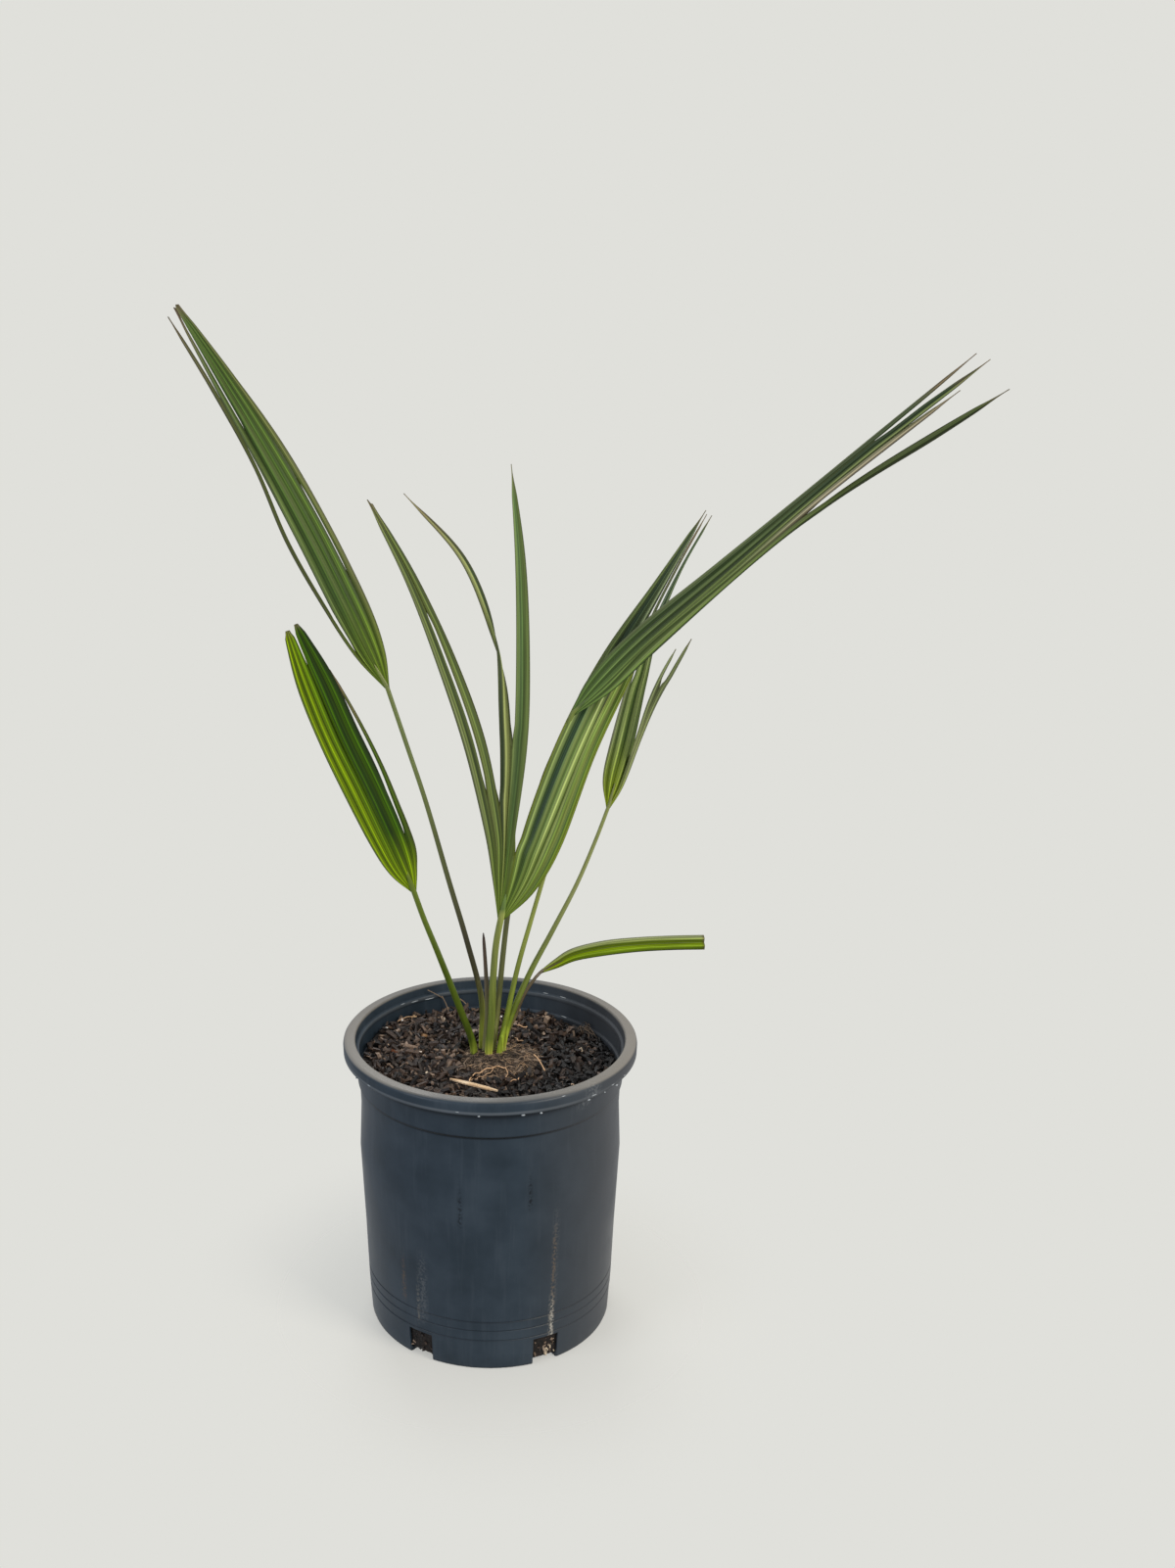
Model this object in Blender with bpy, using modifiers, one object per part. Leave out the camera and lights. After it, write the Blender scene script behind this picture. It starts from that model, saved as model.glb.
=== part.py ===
"""Young cabbage palm in a plain 200 mm nursery pot.

The palm has seven fronds and one unopened leaf, which rise from a small root ball in coarse bark mix.
Blender units are metres. Sizes and places below are in millimetres, with +Z up, +X to the right and +Y
to the back. The origin is the middle of the pot's underside.
"""

import math
import random
from dataclasses import dataclass

import bmesh
import bpy
from mathutils import Matrix, Vector

MM = 0.001
MERGE = 0.00001
MERGE_MM = 0.001

# Pot
POT_HEIGHT = 207.0
POT_STEPS = 48
WALL = 1.4
RIM_OUTER_R = 100.0
RIM_INNER_R = 92.0
RIM_BAND = 9.5
COLLAR_R = 90.4
COLLAR_FOOT_Z = 177.0
BELLY_R = 89.8
BELLY_Z = 128.0
WAIST_R = 88.5
WAIST_Z = 160.0
FOOT_R = 84.0
FOOT_ROUND = 2.2
FLOOR = 2.2
UPPER_LEDGE_Z = 200.0
LOWER_LEDGE_Z = 186.0
BASE_RINGS_Z = (37.5, 30.5, 23.0)
RING_DEPTH = 0.5
SLOT_COUNT = 6
SLOT_FIRST_DEG = 26.2
SLOT_WIDTH = 18.0
SLOT_TOP_Z = 20.5
SLOT_INNER_R = 74.5
SLOT_OUTER_R = 86.5
CUT_SPARE = 4.0

# Potting mix and root ball
CLEARANCE = 0.4
MIX_LEVEL = 184.5
MIX_RINGS = (87.0, 80.0, 71.0, 62.0, 53.0, 44.0, 36.0)
CHIP_COUNT = 46
CHIP_SEED = 7
CHIP_TO_BALL = 8.0
CHIP_TO_SLIVER = 9.0
BALL_X, BALL_Y = 7.0, 5.0
BALL_R = 31.0
BALL_TOP_Z = 188.0
BALL_EDGE_Z = 184.0
BALL_FOOT_Z = 118.0
BALL_FOOT_R = 27.0
BALL_STEPS = 32
STEM_FOOT_Z = 170.0
COLLAR_Z = 190.0
HOLE_PLAY = 0.6
HOLE_DEEP = 40.0
STRAIGHT_FOOT = 10.0

# Fronds
BLADE_THICK = 0.8
ROW_PITCH = 17.0
ROWS_LEAST = 8
FOLD = 0.3
FLAT_COLUMN = 0.8
FOLDED_COLUMN = 1.6
PARTING = 0.1
ROW_CROWDING = 1.15
FINE_STEPS = 200
SPAN_STEPS = 24
RIDGE_R = 3.0
BACK = Vector((0.0, 1.0, -0.315))
SLIT = 1.6
TIP_WIDTH = 1.4
COSTA = 16.0
BASE_SPREAD = 1.9
BASE_SUNK = 2.0
STEM_PITCH = 16.0

LEAF_GREEN = (0.070, 0.135, 0.045)
LEAF_DARK = (0.035, 0.080, 0.040)
LEAF_BRIGHT = (0.140, 0.260, 0.030)


@dataclass
class Segment:
    """One pleated strip of a blade, through places of (x, y, z, width) from its base to its tip.

    `joined` is the share of its length along which it is still one with the strip on its left, `lift`
    is how far it then stands out in front of that strip, and `twist` is where a turn starts and ends
    along it, with the turn in degrees.
    """

    places: list
    pleats: int
    joined: float = 0.0
    lift: float = 0.0
    twist: tuple = (0.0, 1.0, 0.0)


@dataclass
class Frond:
    """A leaf: a round stem from its foot in the root ball, and the blade's strips from left to right.

    `lean` is how far the blade turns its right side back, and how far both its edges fold back, in
    degrees.
    """

    name: str
    foot: tuple
    foot_r: float
    top_r: float
    stem: list
    facing: tuple
    segments: list
    lean: tuple = (0.0, 0.0)
    colour: tuple = LEAF_GREEN


FRONDS = [
    Frond(
        "frond_upper_left", (-6.0, 19.5), 2.3, 1.7,
        [(-6, 20, 224), (-16, 23, 266), (-28, 27, 308), (-43, 32, 362), (-56, 37, 402), (-69, 43, 441)],
        (0.0, -1.0, 0.0),
        [
            Segment([(-88, 44, 460, 2.6), (-106, 47, 488, 2.9), (-131, 50, 535, 3.4), (-154, 55, 584, 3.3),
                     (-180, 60, 632, 3.0), (-206, 66, 678, 1.3)], 1),
            Segment([(-80, 46, 462, 15.5), (-94, 49, 492, 20), (-118, 55, 541, 20), (-145, 62, 590, 17.5),
                     (-173, 71, 636, 12), (-203, 80, 683, 1.7)], 4, joined=0.1),
            Segment([(-71, 45, 464, 3), (-82, 49, 495, 3.9), (-107, 55, 546, 3.9), (-135, 62, 595, 3.4),
                     (-167, 71, 640, 2.3), (-199, 80, 681, 1.3)], 1, joined=0.42, lift=-1.8),
        ],
        (-24.0, 14.0),
    ),
    Frond(
        "frond_lower_left", (-11.3, 13.0), 3.0, 2.0,
        [(-18, 4, 221), (-25, -3, 246), (-34, -11, 273), (-43, -19, 299), (-50, -27, 323)],
        (0.0, -1.0, 0.0),
        [
            Segment([(-61, -30, 336, 8.3), (-71, -34, 357, 11.7), (-86, -41, 394, 13.4),
                     (-100, -50, 430, 12.6), (-112, -60, 467, 11.2), (-120.5, -70, 505, 2.4)], 3),
            Segment([(-53, -30, 340, 7.4), (-60, -34, 362, 11.5), (-74, -41, 399, 13.4),
                     (-88, -49, 435, 12.7), (-101, -60, 472, 11.4), (-115.5, -70, 508, 2.4)], 2,
                    joined=0.85),
            Segment([(-49, -29, 337, 2), (-50, -31, 354, 2.6), (-59, -36, 382, 4), (-69, -40, 410, 3.1),
                     (-81, -45, 436, 2.4), (-94, -50, 462, 1.4)], 1, joined=0.2, lift=-1.8),
        ],
        (12.0, 30.0),
        LEAF_BRIGHT,
    ),
    Frond(
        "frond_centre", (-1.0, 8.0), 3.0, 2.3,
        [(1, 6, 216), (2, 5, 245), (4, 5, 271), (7.5, 5, 291)],
        (0.0, -1.0, 0.0),
        [
            Segment([(3, 4, 318, 2.8), (-1, 3, 353, 5.8), (-13, 1, 410, 7.6), (-30, -3, 465, 6.8),
                     (-50, -10, 520, 4.6), (-75, -18, 573, 1.3)], 1),
            Segment([(6, 4, 318, 2.6), (5, 3, 354, 5.3), (-6, 1, 412, 7), (-24, -3, 467, 6.3),
                     (-46, -10, 522, 4.2), (-62, -14, 552, 1.3)], 1, joined=0.2, lift=-1.8),
            Segment([(8, 6, 318, 2.8), (9, 8, 354, 5.1), (10, 10, 414, 8.5), (4, 15, 472, 6.5),
                     (-16, 22, 527, 5.8), (-55, 30, 570, 1.3)], 1, joined=0.26, twist=(0.45, 0.75, 180.0)),
            Segment([(10, 5, 318, 2.7), (14, 5, 354, 6.4), (20, 6, 414, 8.9), (21, 5, 472, 8.6),
                     (19, 4, 532, 6.5), (13, 2, 592, 1.3)], 1, joined=0.4),
            Segment([(20, 8, 315, 9.5), (32, 12, 349, 16), (57, 27, 404, 14.5), (84, 50, 454, 12),
                     (114, 70, 502, 7), (145, 90, 550, 1.3)], 3, joined=0.15),
            Segment([(27, 8, 310, 7.1), (44, 12, 341, 10.9), (67, 26, 398, 10.9), (88, 45, 440, 8),
                     (104, 62, 470, 1.4)], 2, joined=0.45, lift=-1.8),
        ],
        (0.0, 0.0),
        LEAF_DARK,
    ),
    Frond(
        "frond_middle", (6.5, 8.5), 2.3, 1.8,
        [(12, 13, 217), (19, 18, 249), (28, 24, 281), (37, 30, 312)],
        (0.0, -1.0, 1.0),
        [Segment([(43, 44, 328, 8.5), (49, 56, 344, 9.7), (56, 72, 357, 9.1), (65, 89, 368, 6.1),
                  (74, 105, 379, 1.4)], 2)],
        (0.0, 0.0),
        LEAF_BRIGHT,
    ),
    Frond(
        "frond_long_right", (1.8, 13.8), 2.2, 1.8,
        [(4, 15, 206), (12, 22, 286), (21, 27, 329), (31, 30, 363), (38, 32, 386), (55, 30, 426)],
        (0.0, -1.0, 0.0),
        [
            Segment([(68, 29, 450, 4.5), (96, 27, 481, 5.1), (146, 18, 526, 4.4), (194, 2, 572, 3.1),
                     (241, -18, 618, 3), (285, -38, 662, 1.3)], 1),
            Segment([(73, 29, 446, 8.2), (102, 27, 476, 9.2), (150, 18, 522, 7.9), (198, 2, 570, 5.6),
                     (244, -18, 615, 5.4), (293, -40, 658, 2)], 2, joined=0.75, lift=1.8),
            Segment([(76, 29, 444, 4), (104, 27, 473, 4.2), (152, 18, 520, 3.6), (201, 2, 568, 3.2),
                     (248, -18, 612, 3.4), (297, -40, 655, 1.4)], 1, joined=0.68, lift=-1.0),
            Segment([(81, 29, 441, 1.6), (110, 27, 468, 2.4), (158, 17, 515, 2.4), (192, 6, 553, 2.6),
                     (217, -2, 574, 3.6), (246, -13, 597, 4), (276, -23, 618, 4), (306, -34, 639, 1.3)],
                    1, joined=0.5, lift=-2.8),
        ],
        (-15.0, 12.0),
        LEAF_DARK,
    ),
    Frond(
        "frond_small_right", (8.8, 14.0), 2.6, 1.7,
        [(14, 17, 211), (27, 26, 240), (43, 36, 268), (60, 46, 299), (73, 55, 328), (82, 61, 351)],
        (0.0, -1.0, 0.0),
        [
            Segment([(79, 64, 369, 2.5), (84, 68, 393, 3.2), (95, 74, 434, 2.7), (108, 82, 473, 2),
                     (127, 91, 511, 1.5), (147, 100, 546, 1.3)], 1),
            Segment([(86, 64, 368, 9), (92, 68, 392, 12.4), (101, 74, 432, 10.6), (112, 82, 472, 6.1),
                     (129, 91, 510, 2.9), (150, 100, 545, 1.4)], 2, joined=0.4, lift=1.6),
            Segment([(89, 61, 361, 1.5), (94, 61, 375, 1.9), (102, 60, 400, 2.2), (109, 58, 425, 2.5),
                     (116, 56, 445, 2.2), (124, 54, 463, 1.3)], 1, joined=0.06),
            Segment([(90, 61, 361, 1.5), (97, 61, 375, 1.9), (104, 60, 400, 2.2), (113, 58, 424, 2.5),
                     (123, 55, 448, 2.6), (134, 52, 471, 1.3)], 1, joined=0.7, lift=1.6),
        ],
        (0.0, 15.0),
        LEAF_GREEN,
    ),
    Frond(
        "frond_cut_low", (9.3, 19.5), 1.8, 1.3,
        [(17, 25, 208), (24, 31, 223), (32, 37, 233), (37, 42, 236)],
        (0.0, -0.9, 0.45),
        [Segment([(46, 44, 239, 5.6), (59, 48, 244, 8.3), (81, 53, 247, 9.8), (105, 58, 248, 9.4),
                  (129, 62, 248, 9.6), (152, 66, 247, 10.2)], 2)],
        (0.0, 0.0),
        LEAF_BRIGHT,
    ),
    Frond(
        "spear_leaf", (-3.4, 13.4), 1.9, 0.7,
        [(-1.5, 12, 215), (-1.2, 11, 232), (-2, 10.5, 250), (-4.3, 10, 277)],
        (0.0, -1.0, 0.0), [], (0.0, 0.0), (0.060, 0.050, 0.030),
    ),
]

# Wood sliver on the mix
SLIVER_ENDS = ((-27.0, -28.0), (5.0, -45.0))
SLIVER_WIDTH = 3.4
SLIVER_THICK = 1.2
SLIVER_GAP = 0.5

# Surface roots on the root ball, as places seen from above
SURFACE_ROOTS = [
    [(-16, -12), (-11, -17), (-3, -15), (5, -12), (13, -12), (15, -18)],
    [(-8, -12), (-2, -19), (5, -20), (11, -17)],
    [(12, -4), (19, -3), (25, 2), (31, 1)],
    [(16, 18), (24, 20), (30, 17), (33, 10)],
    [(22, -12), (18, -19), (12, -21)],
]
ROOT_R = 0.9
ROOT_RISE = 0.2


def material(name, colour, roughness):
    """Principled material with one colour."""
    made = bpy.data.materials.new(name)
    made.use_nodes = True
    shader = made.node_tree.nodes["Principled BSDF"]
    shader.inputs["Base Color"].default_value = (*colour, 1.0)
    shader.inputs["Roughness"].default_value = roughness
    shader.inputs["Metallic"].default_value = 0.0
    made.diffuse_color = (*colour, 1.0)
    return made


def collection(name):
    made = bpy.data.collections.new(name)
    bpy.context.scene.collection.children.link(made)
    return made


def new_object(name, mesh, home):
    made = bpy.data.objects.new(name, mesh)
    home.objects.link(made)
    return made


def bm_object(name, bm, home):
    """Turn a bmesh in millimetres into an object in metres."""
    bm.transform(Matrix.Scale(MM, 4))
    mesh = bpy.data.meshes.new(name)
    bm.to_mesh(mesh)
    bm.free()
    return new_object(name, mesh, home)


def settle(obj, weld=False):
    """Replace an object's modifiers, or a curve, by the mesh they make. A curve's caps need a weld."""
    bpy.context.view_layer.update()
    shown = obj.evaluated_get(bpy.context.evaluated_depsgraph_get())
    mesh = bpy.data.meshes.new_from_object(shown)
    if weld:
        bm = bmesh.new()
        bm.from_mesh(mesh)
        bmesh.ops.remove_doubles(bm, verts=bm.verts, dist=MERGE)
        bm.to_mesh(mesh)
        bm.free()
    name, home, place = obj.name, obj.users_collection[0], obj.matrix_world.copy()
    bpy.data.objects.remove(obj)
    made = new_object(name, mesh, home)
    made.matrix_world = place
    return made


def boolean(obj, operation, tool):
    """Join or cut `obj` with one object or a collection, and settle the result."""
    step = obj.modifiers.new(operation.title(), "BOOLEAN")
    step.operation = operation
    step.solver = "EXACT"
    step.use_self = operation == "UNION"
    if isinstance(tool, bpy.types.Collection):
        step.operand_type = "COLLECTION"
        step.collection = tool
        tools = list(tool.objects)
    else:
        step.object = tool
        tools = [tool]
    made = settle(obj)
    for used in tools:
        bpy.data.objects.remove(used)
    return made


def turned(name, profile, steps, home):
    """Turn a closed profile of (radius, height) round Z. It runs down the outside first."""
    bm = bmesh.new()
    points = [bm.verts.new((r, 0.0, z)) for r, z in profile]
    for start, end in zip(points, points[1:]):
        bm.edges.new((start, end))
    made = bm_object(name, bm, home)
    screw = made.modifiers.new("Turn", "SCREW")
    screw.axis = "Z"
    screw.steps = steps
    screw.render_steps = steps
    screw.use_merge_vertices = True
    screw.merge_threshold = MERGE
    return settle(made)


def smooth_step(value):
    value = min(1.0, max(0.0, value))
    return value * value * (3.0 - 2.0 * value)


def route(points, count, before=None):
    """`count` + 1 places at even distances along a smooth curve through `points`."""
    knots = [Vector(p) for p in points]
    first = Vector(before) if before else knots[0] * 2.0 - knots[1]
    knots = [first] + knots + [knots[-1] * 2.0 - knots[-2]]
    fine = []
    for a, b, c, d in zip(knots, knots[1:], knots[2:], knots[3:]):
        for i in range(SPAN_STEPS):
            t = i / SPAN_STEPS
            fine.append(0.5 * (2.0 * b + (c - a) * t + (2.0 * a - 5.0 * b + 4.0 * c - d) * t * t
                               + (3.0 * b - a - 3.0 * c + d) * t * t * t))
    fine.append(knots[-2])
    walked = [0.0]
    for a, b in zip(fine, fine[1:]):
        walked.append(walked[-1] + (b - a).length)
    places = []
    at = 0
    for i in range(count + 1):
        goal = walked[-1] * i / count
        while at < len(fine) - 2 and walked[at + 1] < goal:
            at += 1
        share = (goal - walked[at]) / (walked[at + 1] - walked[at])
        places.append(fine[at].lerp(fine[at + 1], share))
    return places


def length_of(points):
    return sum((Vector(b) - Vector(a)).length for a, b in zip(points, points[1:]))


def stem_route(frond):
    """The stem's centre line: upright in its hole, then through the frond's own points."""
    x, y = frond.foot
    collar = (x, y, COLLAR_Z)
    points = [collar] + frond.stem
    count = max(4, round(length_of(points) / STEM_PITCH))
    below = (x, y, 2.0 * COLLAR_Z - frond.stem[0][2])
    upright = [Vector((x, y, STEM_FOOT_Z)), Vector((x, y, STEM_FOOT_Z + STRAIGHT_FOOT))]
    return upright + route(points, count, below)


def costa_route(frond):
    """How the stem runs on into the blade as a short midrib."""
    top = Vector(frond.stem[-1])
    ahead = Vector((0.0, 0.0, 0.0))
    for segment in frond.segments:
        ahead += Vector(segment.places[0][:3]) - top
    ahead.normalize()
    return [top + ahead * COSTA * share for share in (0.35, 0.7, 1.0)]


def stem(frond, home):
    """The stem as a tube that thins towards the blade, and to a point in it."""
    line = stem_route(frond)
    radii = [frond.foot_r + (frond.top_r - frond.foot_r) * smooth_step(i / (len(line) - 1))
             for i in range(len(line))]
    if frond.segments:
        line += costa_route(frond)
        radii += [frond.top_r * 0.85, frond.top_r * 0.65, BLADE_THICK * 0.8]
    curve = bpy.data.curves.new(frond.name, "CURVE")
    curve.dimensions = "3D"
    curve.bevel_depth = MM
    curve.bevel_resolution = 2
    curve.use_fill_caps = True
    spline = curve.splines.new("POLY")
    spline.points.add(len(line) - 1)
    for point, place, radius in zip(spline.points, line, radii):
        point.co = (*(place * MM), 1.0)
        point.radius = radius
    return settle(new_object(frond.name, curve, home), weld=True)


def strip_edges(frond, segment, start, base, marks):
    """The left edge, the right edge and the upward normal of a strip, at each row.

    `marks` are the rows' distances from the blade's base. All strips share them, and each strip ends in
    a row of its own at its tip.
    """
    fine = route([(*start, base)] + segment.places, FINE_STEPS)
    reach = length_of(fine)
    rows = [mark / reach for mark in marks if mark < reach - ROW_PITCH / 3] + [1.0]
    lefts, rights, normals = [], [], []
    for share in rows:
        at = share * FINE_STEPS
        low = min(FINE_STEPS - 1, int(at))
        place = fine[low].lerp(fine[low + 1], at - low)
        centre = place.to_3d()
        ahead = (fine[min(FINE_STEPS, low + 3)] - fine[max(0, low - 2)]).to_3d().normalized()
        across = ahead.cross(Vector(frond.facing)).normalized()
        start_turn, end_turn, degrees = segment.twist
        turn = math.radians(degrees) * smooth_step((share - start_turn) / (end_turn - start_turn))
        across = Matrix.Rotation(turn, 3, ahead) @ across
        normal = across.cross(ahead)
        centre += normal * segment.lift * smooth_step((share - segment.joined) / PARTING)
        half = across * max(place.w, TIP_WIDTH) / 2
        lefts.append(centre - half)
        rights.append(centre + half)
        normals.append(normal)
    return rows, lefts, rights, normals


def lean_sheet(bm, frond, top):
    """Turn a flat blade about the line to its tip: its right side goes back, and so do both edges.

    All of it moves along BACK, which slopes down, so that the outline seen from the front is kept.
    """
    tips = [Vector(segment.places[-1][:3]) for segment in frond.segments]
    chord = max(tips, key=lambda tip: (tip - top).length) - top
    chord.y = 0.0
    chord.normalize()
    side, keel = (math.tan(math.radians(angle)) for angle in frond.lean)
    for vert in bm.verts:
        out = (vert.co.x - top.x) * chord.z - (vert.co.z - top.z) * chord.x
        vert.co += BACK * (side * out + keel * (math.hypot(out, RIDGE_R) - RIDGE_R))


def part_strips(segment, rows, lefts, rights, before):
    """Give a strip and the one on its left one shared edge while they are joined, and then a slit."""
    edges, corners = before
    for k, share in enumerate(rows[:len(edges)]):
        across = (rights[k] - lefts[k]).normalized()
        gap = lefts[k] - edges[k]
        parted = k > 1 and share > segment.joined
        if parted and (gap.dot(across) >= SLIT or gap.length > 3 * SLIT):
            continue
        shared = (lefts[k] + edges[k]) / 2
        apart = across * (SLIT / 2 if parted else 0.0)
        lefts[k] = shared + apart
        for vert in corners[k]:
            vert.co = shared - apart


def blade(frond, home):
    """All the strips of a blade as one pleated sheet, split where the strips part."""
    top = Vector(frond.stem[-1])
    down = (top - Vector(frond.stem[-2])).normalized()
    across = down.cross(Vector(frond.facing)).normalized()
    pleats = sum(segment.pleats for segment in frond.segments)
    base_width = BASE_SPREAD * frond.top_r
    longest = max(length_of([top] + [p[:3] for p in segment.places]) for segment in frond.segments)
    most = max(ROWS_LEAST, round(longest / ROW_PITCH))
    marks = [longest * (k / most) ** ROW_CROWDING for k in range(most)]
    bm = bmesh.new()
    before = None
    done = 0
    for segment in frond.segments:
        middle = (done + segment.pleats / 2) / pleats - 0.5
        done += segment.pleats
        start = top - down * BASE_SUNK + across * middle * base_width
        base = base_width * segment.pleats / pleats
        rows, lefts, rights, normals = strip_edges(frond, segment, start, base, marks)
        count = len(rows) - 1
        if before:
            part_strips(segment, rows, lefts, rights, before)
        columns = 2 * segment.pleats
        strip = bmesh.ops.create_grid(bm, x_segments=columns, y_segments=count, size=0.5)["verts"]
        right_verts = [[] for _ in rows]
        for vert in strip:
            column = round((vert.co.x + 0.5) * columns)
            k = round((vert.co.y + 0.5) * count)
            wide = (rights[k] - lefts[k]).length / columns
            folded = smooth_step((wide - FLAT_COLUMN) / (FOLDED_COLUMN - FLAT_COLUMN))
            lift = FOLD * 2 * wide * folded * (column % 2)
            vert.co = lefts[k].lerp(rights[k], column / columns) + normals[k] * lift
            if column == columns:
                right_verts[k].append(vert)
        before = (rights, right_verts)
    bmesh.ops.remove_doubles(bm, verts=bm.verts, dist=MERGE_MM)
    lean_sheet(bm, frond, top)
    bmesh.ops.triangulate(bm, faces=bm.faces)
    made = bm_object(frond.name + "_blade", bm, home)
    thick = made.modifiers.new("Thickness", "SOLIDIFY")
    thick.thickness = BLADE_THICK * MM
    thick.offset = 0.0
    thick.use_even_offset = False
    return settle(made)


def mix_height(x, y):
    """Top of the potting mix: high at the back left, low on the right, uneven all over."""
    level = MIX_LEVEL - 0.03 * x + 0.01 * y
    heap = 3.6 * math.exp(-((x + 66) ** 2 + (y - 42) ** 2) / 36.0 ** 2)
    hollow = 2.2 * math.exp(-((x - 62) ** 2 + (y - 28) ** 2) / 32.0 ** 2)
    lumps = 0.7 * math.sin(x / 6.1 + 1.3) * math.cos(y / 7.3) + 0.5 * math.sin(x / 3.7 - y / 4.9)
    return level + heap - hollow + lumps


def ball_height(x, y):
    """Top of the root ball: a low dome with matted lumps."""
    out = min(1.0, math.hypot(x - BALL_X, y - BALL_Y) / BALL_R)
    matted = 0.4 * math.sin(x / 2.9) * math.cos(y / 3.3 + 0.6)
    return BALL_TOP_Z - (BALL_TOP_Z - BALL_EDGE_Z) * out ** 2.4 + matted * (1.0 - out)


def wall_radius(z):
    """Outer radius of the pot's wall below the collar."""
    marks = [(0.0, FOOT_R - FOOT_ROUND), (FOOT_ROUND, FOOT_R), (28.0, 85.6), (68.0, 87.0), (100.0, WAIST_R),
             (BELLY_Z, BELLY_R), (WAIST_Z, WAIST_R), (COLLAR_FOOT_Z, 89.2)]
    for (z0, r0), (z1, r1) in zip(marks, marks[1:]):
        if z <= z1:
            return r0 + (r1 - r0) * (z - z0) / (z1 - z0)
    return marks[-1][1]


def pot_profile():
    """Half section of the pot, from the top of the rim down the outside and up the inside."""
    lip_r = RIM_OUTER_R - 0.2
    lip_z = POT_HEIGHT - RIM_BAND
    under_z = POT_HEIGHT - 2.0
    outside = [
        (RIM_INNER_R, POT_HEIGHT), (98.2, POT_HEIGHT - 0.4), (RIM_OUTER_R, POT_HEIGHT - 2.4),
        (lip_r, lip_z),
        (lip_r - WALL, lip_z), (lip_r - WALL, under_z), (RIM_INNER_R + 1.6, under_z), (91.4, lip_z),
        (COLLAR_R, COLLAR_FOOT_Z), (wall_radius(COLLAR_FOOT_Z), COLLAR_FOOT_Z - 0.8),
        (WAIST_R, WAIST_Z), (BELLY_R, BELLY_Z), (wall_radius(100.0), 100.0), (wall_radius(68.0), 68.0),
    ]
    for ring_z in BASE_RINGS_Z:
        r = wall_radius(ring_z)
        outside += [(r, ring_z + RING_DEPTH), (r - RING_DEPTH, ring_z - RING_DEPTH)]
    outside += [(FOOT_R, FOOT_ROUND), (FOOT_R - FOOT_ROUND, 0.0), (0.0, 0.0)]
    inside = [
        (0.0, FLOOR), (FOOT_R - WALL - 2.0, FLOOR), (FOOT_R - WALL, FLOOR + 2.0),
        (wall_radius(68.0) - WALL, 68.0), (wall_radius(100.0) - WALL, 100.0), (BELLY_R - WALL, BELLY_Z),
        (WAIST_R - WALL, WAIST_Z), (87.6, COLLAR_FOOT_Z), (87.6, LOWER_LEDGE_Z),
        (COLLAR_R - WALL, LOWER_LEDGE_Z + 0.8), (COLLAR_R - WALL + 0.3, UPPER_LEDGE_Z),
        (RIM_INNER_R - 1.2, UPPER_LEDGE_Z + 1.0), (RIM_INNER_R, POT_HEIGHT),
    ]
    return outside + inside


def pot(home):
    """The moulded pot, with drainage slots that run out through its bottom corner."""
    made = turned("pot", pot_profile(), POT_STEPS, home)
    slots = collection("drainage_slots")
    slot_mid_r = (SLOT_INNER_R + SLOT_OUTER_R) / 2
    slot_deep = SLOT_OUTER_R - SLOT_INNER_R
    for index in range(SLOT_COUNT):
        angle = math.radians(SLOT_FIRST_DEG + index * 360.0 / SLOT_COUNT)
        bm = bmesh.new()
        bmesh.ops.create_cube(bm, size=1.0)
        bm.transform(Matrix.Diagonal((SLOT_WIDTH, slot_deep, SLOT_TOP_Z + CUT_SPARE, 1.0)))
        bm.transform(Matrix.Translation((0.0, -slot_mid_r, (SLOT_TOP_Z - CUT_SPARE) / 2)))
        bm.transform(Matrix.Rotation(angle, 4, "Z"))
        bm_object("slot_%d" % index, bm, slots)
    made = boolean(made, "DIFFERENCE", slots)
    bpy.data.collections.remove(slots)
    return made


def chip(x, y, rng):
    """One bark chip as a tapered block, half sunk in the mix."""
    bm = bmesh.new()
    bmesh.ops.create_cone(bm, cap_ends=True, segments=4, radius1=1.0, radius2=0.55, depth=1.0)
    bm.transform(Matrix.Rotation(math.pi / 4, 4, "Z"))
    length, width, height = rng.uniform(3.0, 5.5), rng.uniform(1.6, 2.8), rng.uniform(2.6, 4.2)
    bm.transform(Matrix.Diagonal((length, width, height, 1.0)))
    bm.transform(Matrix.Rotation(rng.uniform(-0.5, 0.5), 4, "X"))
    bm.transform(Matrix.Rotation(rng.uniform(0.0, math.pi), 4, "Z"))
    bm.transform(Matrix.Translation((x, y, mix_height(x, y) + 0.2)))
    return bm


def near_sliver(x, y):
    """Whether a chip here would touch the wood sliver."""
    (ax, ay), (bx, by) = SLIVER_ENDS
    span = Vector((bx - ax, by - ay))
    share = min(1.0, max(0.0, Vector((x - ax, y - ay)).dot(span) / span.length_squared))
    return math.hypot(x - ax - span.x * share, y - ay - span.y * share) < CHIP_TO_SLIVER


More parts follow.
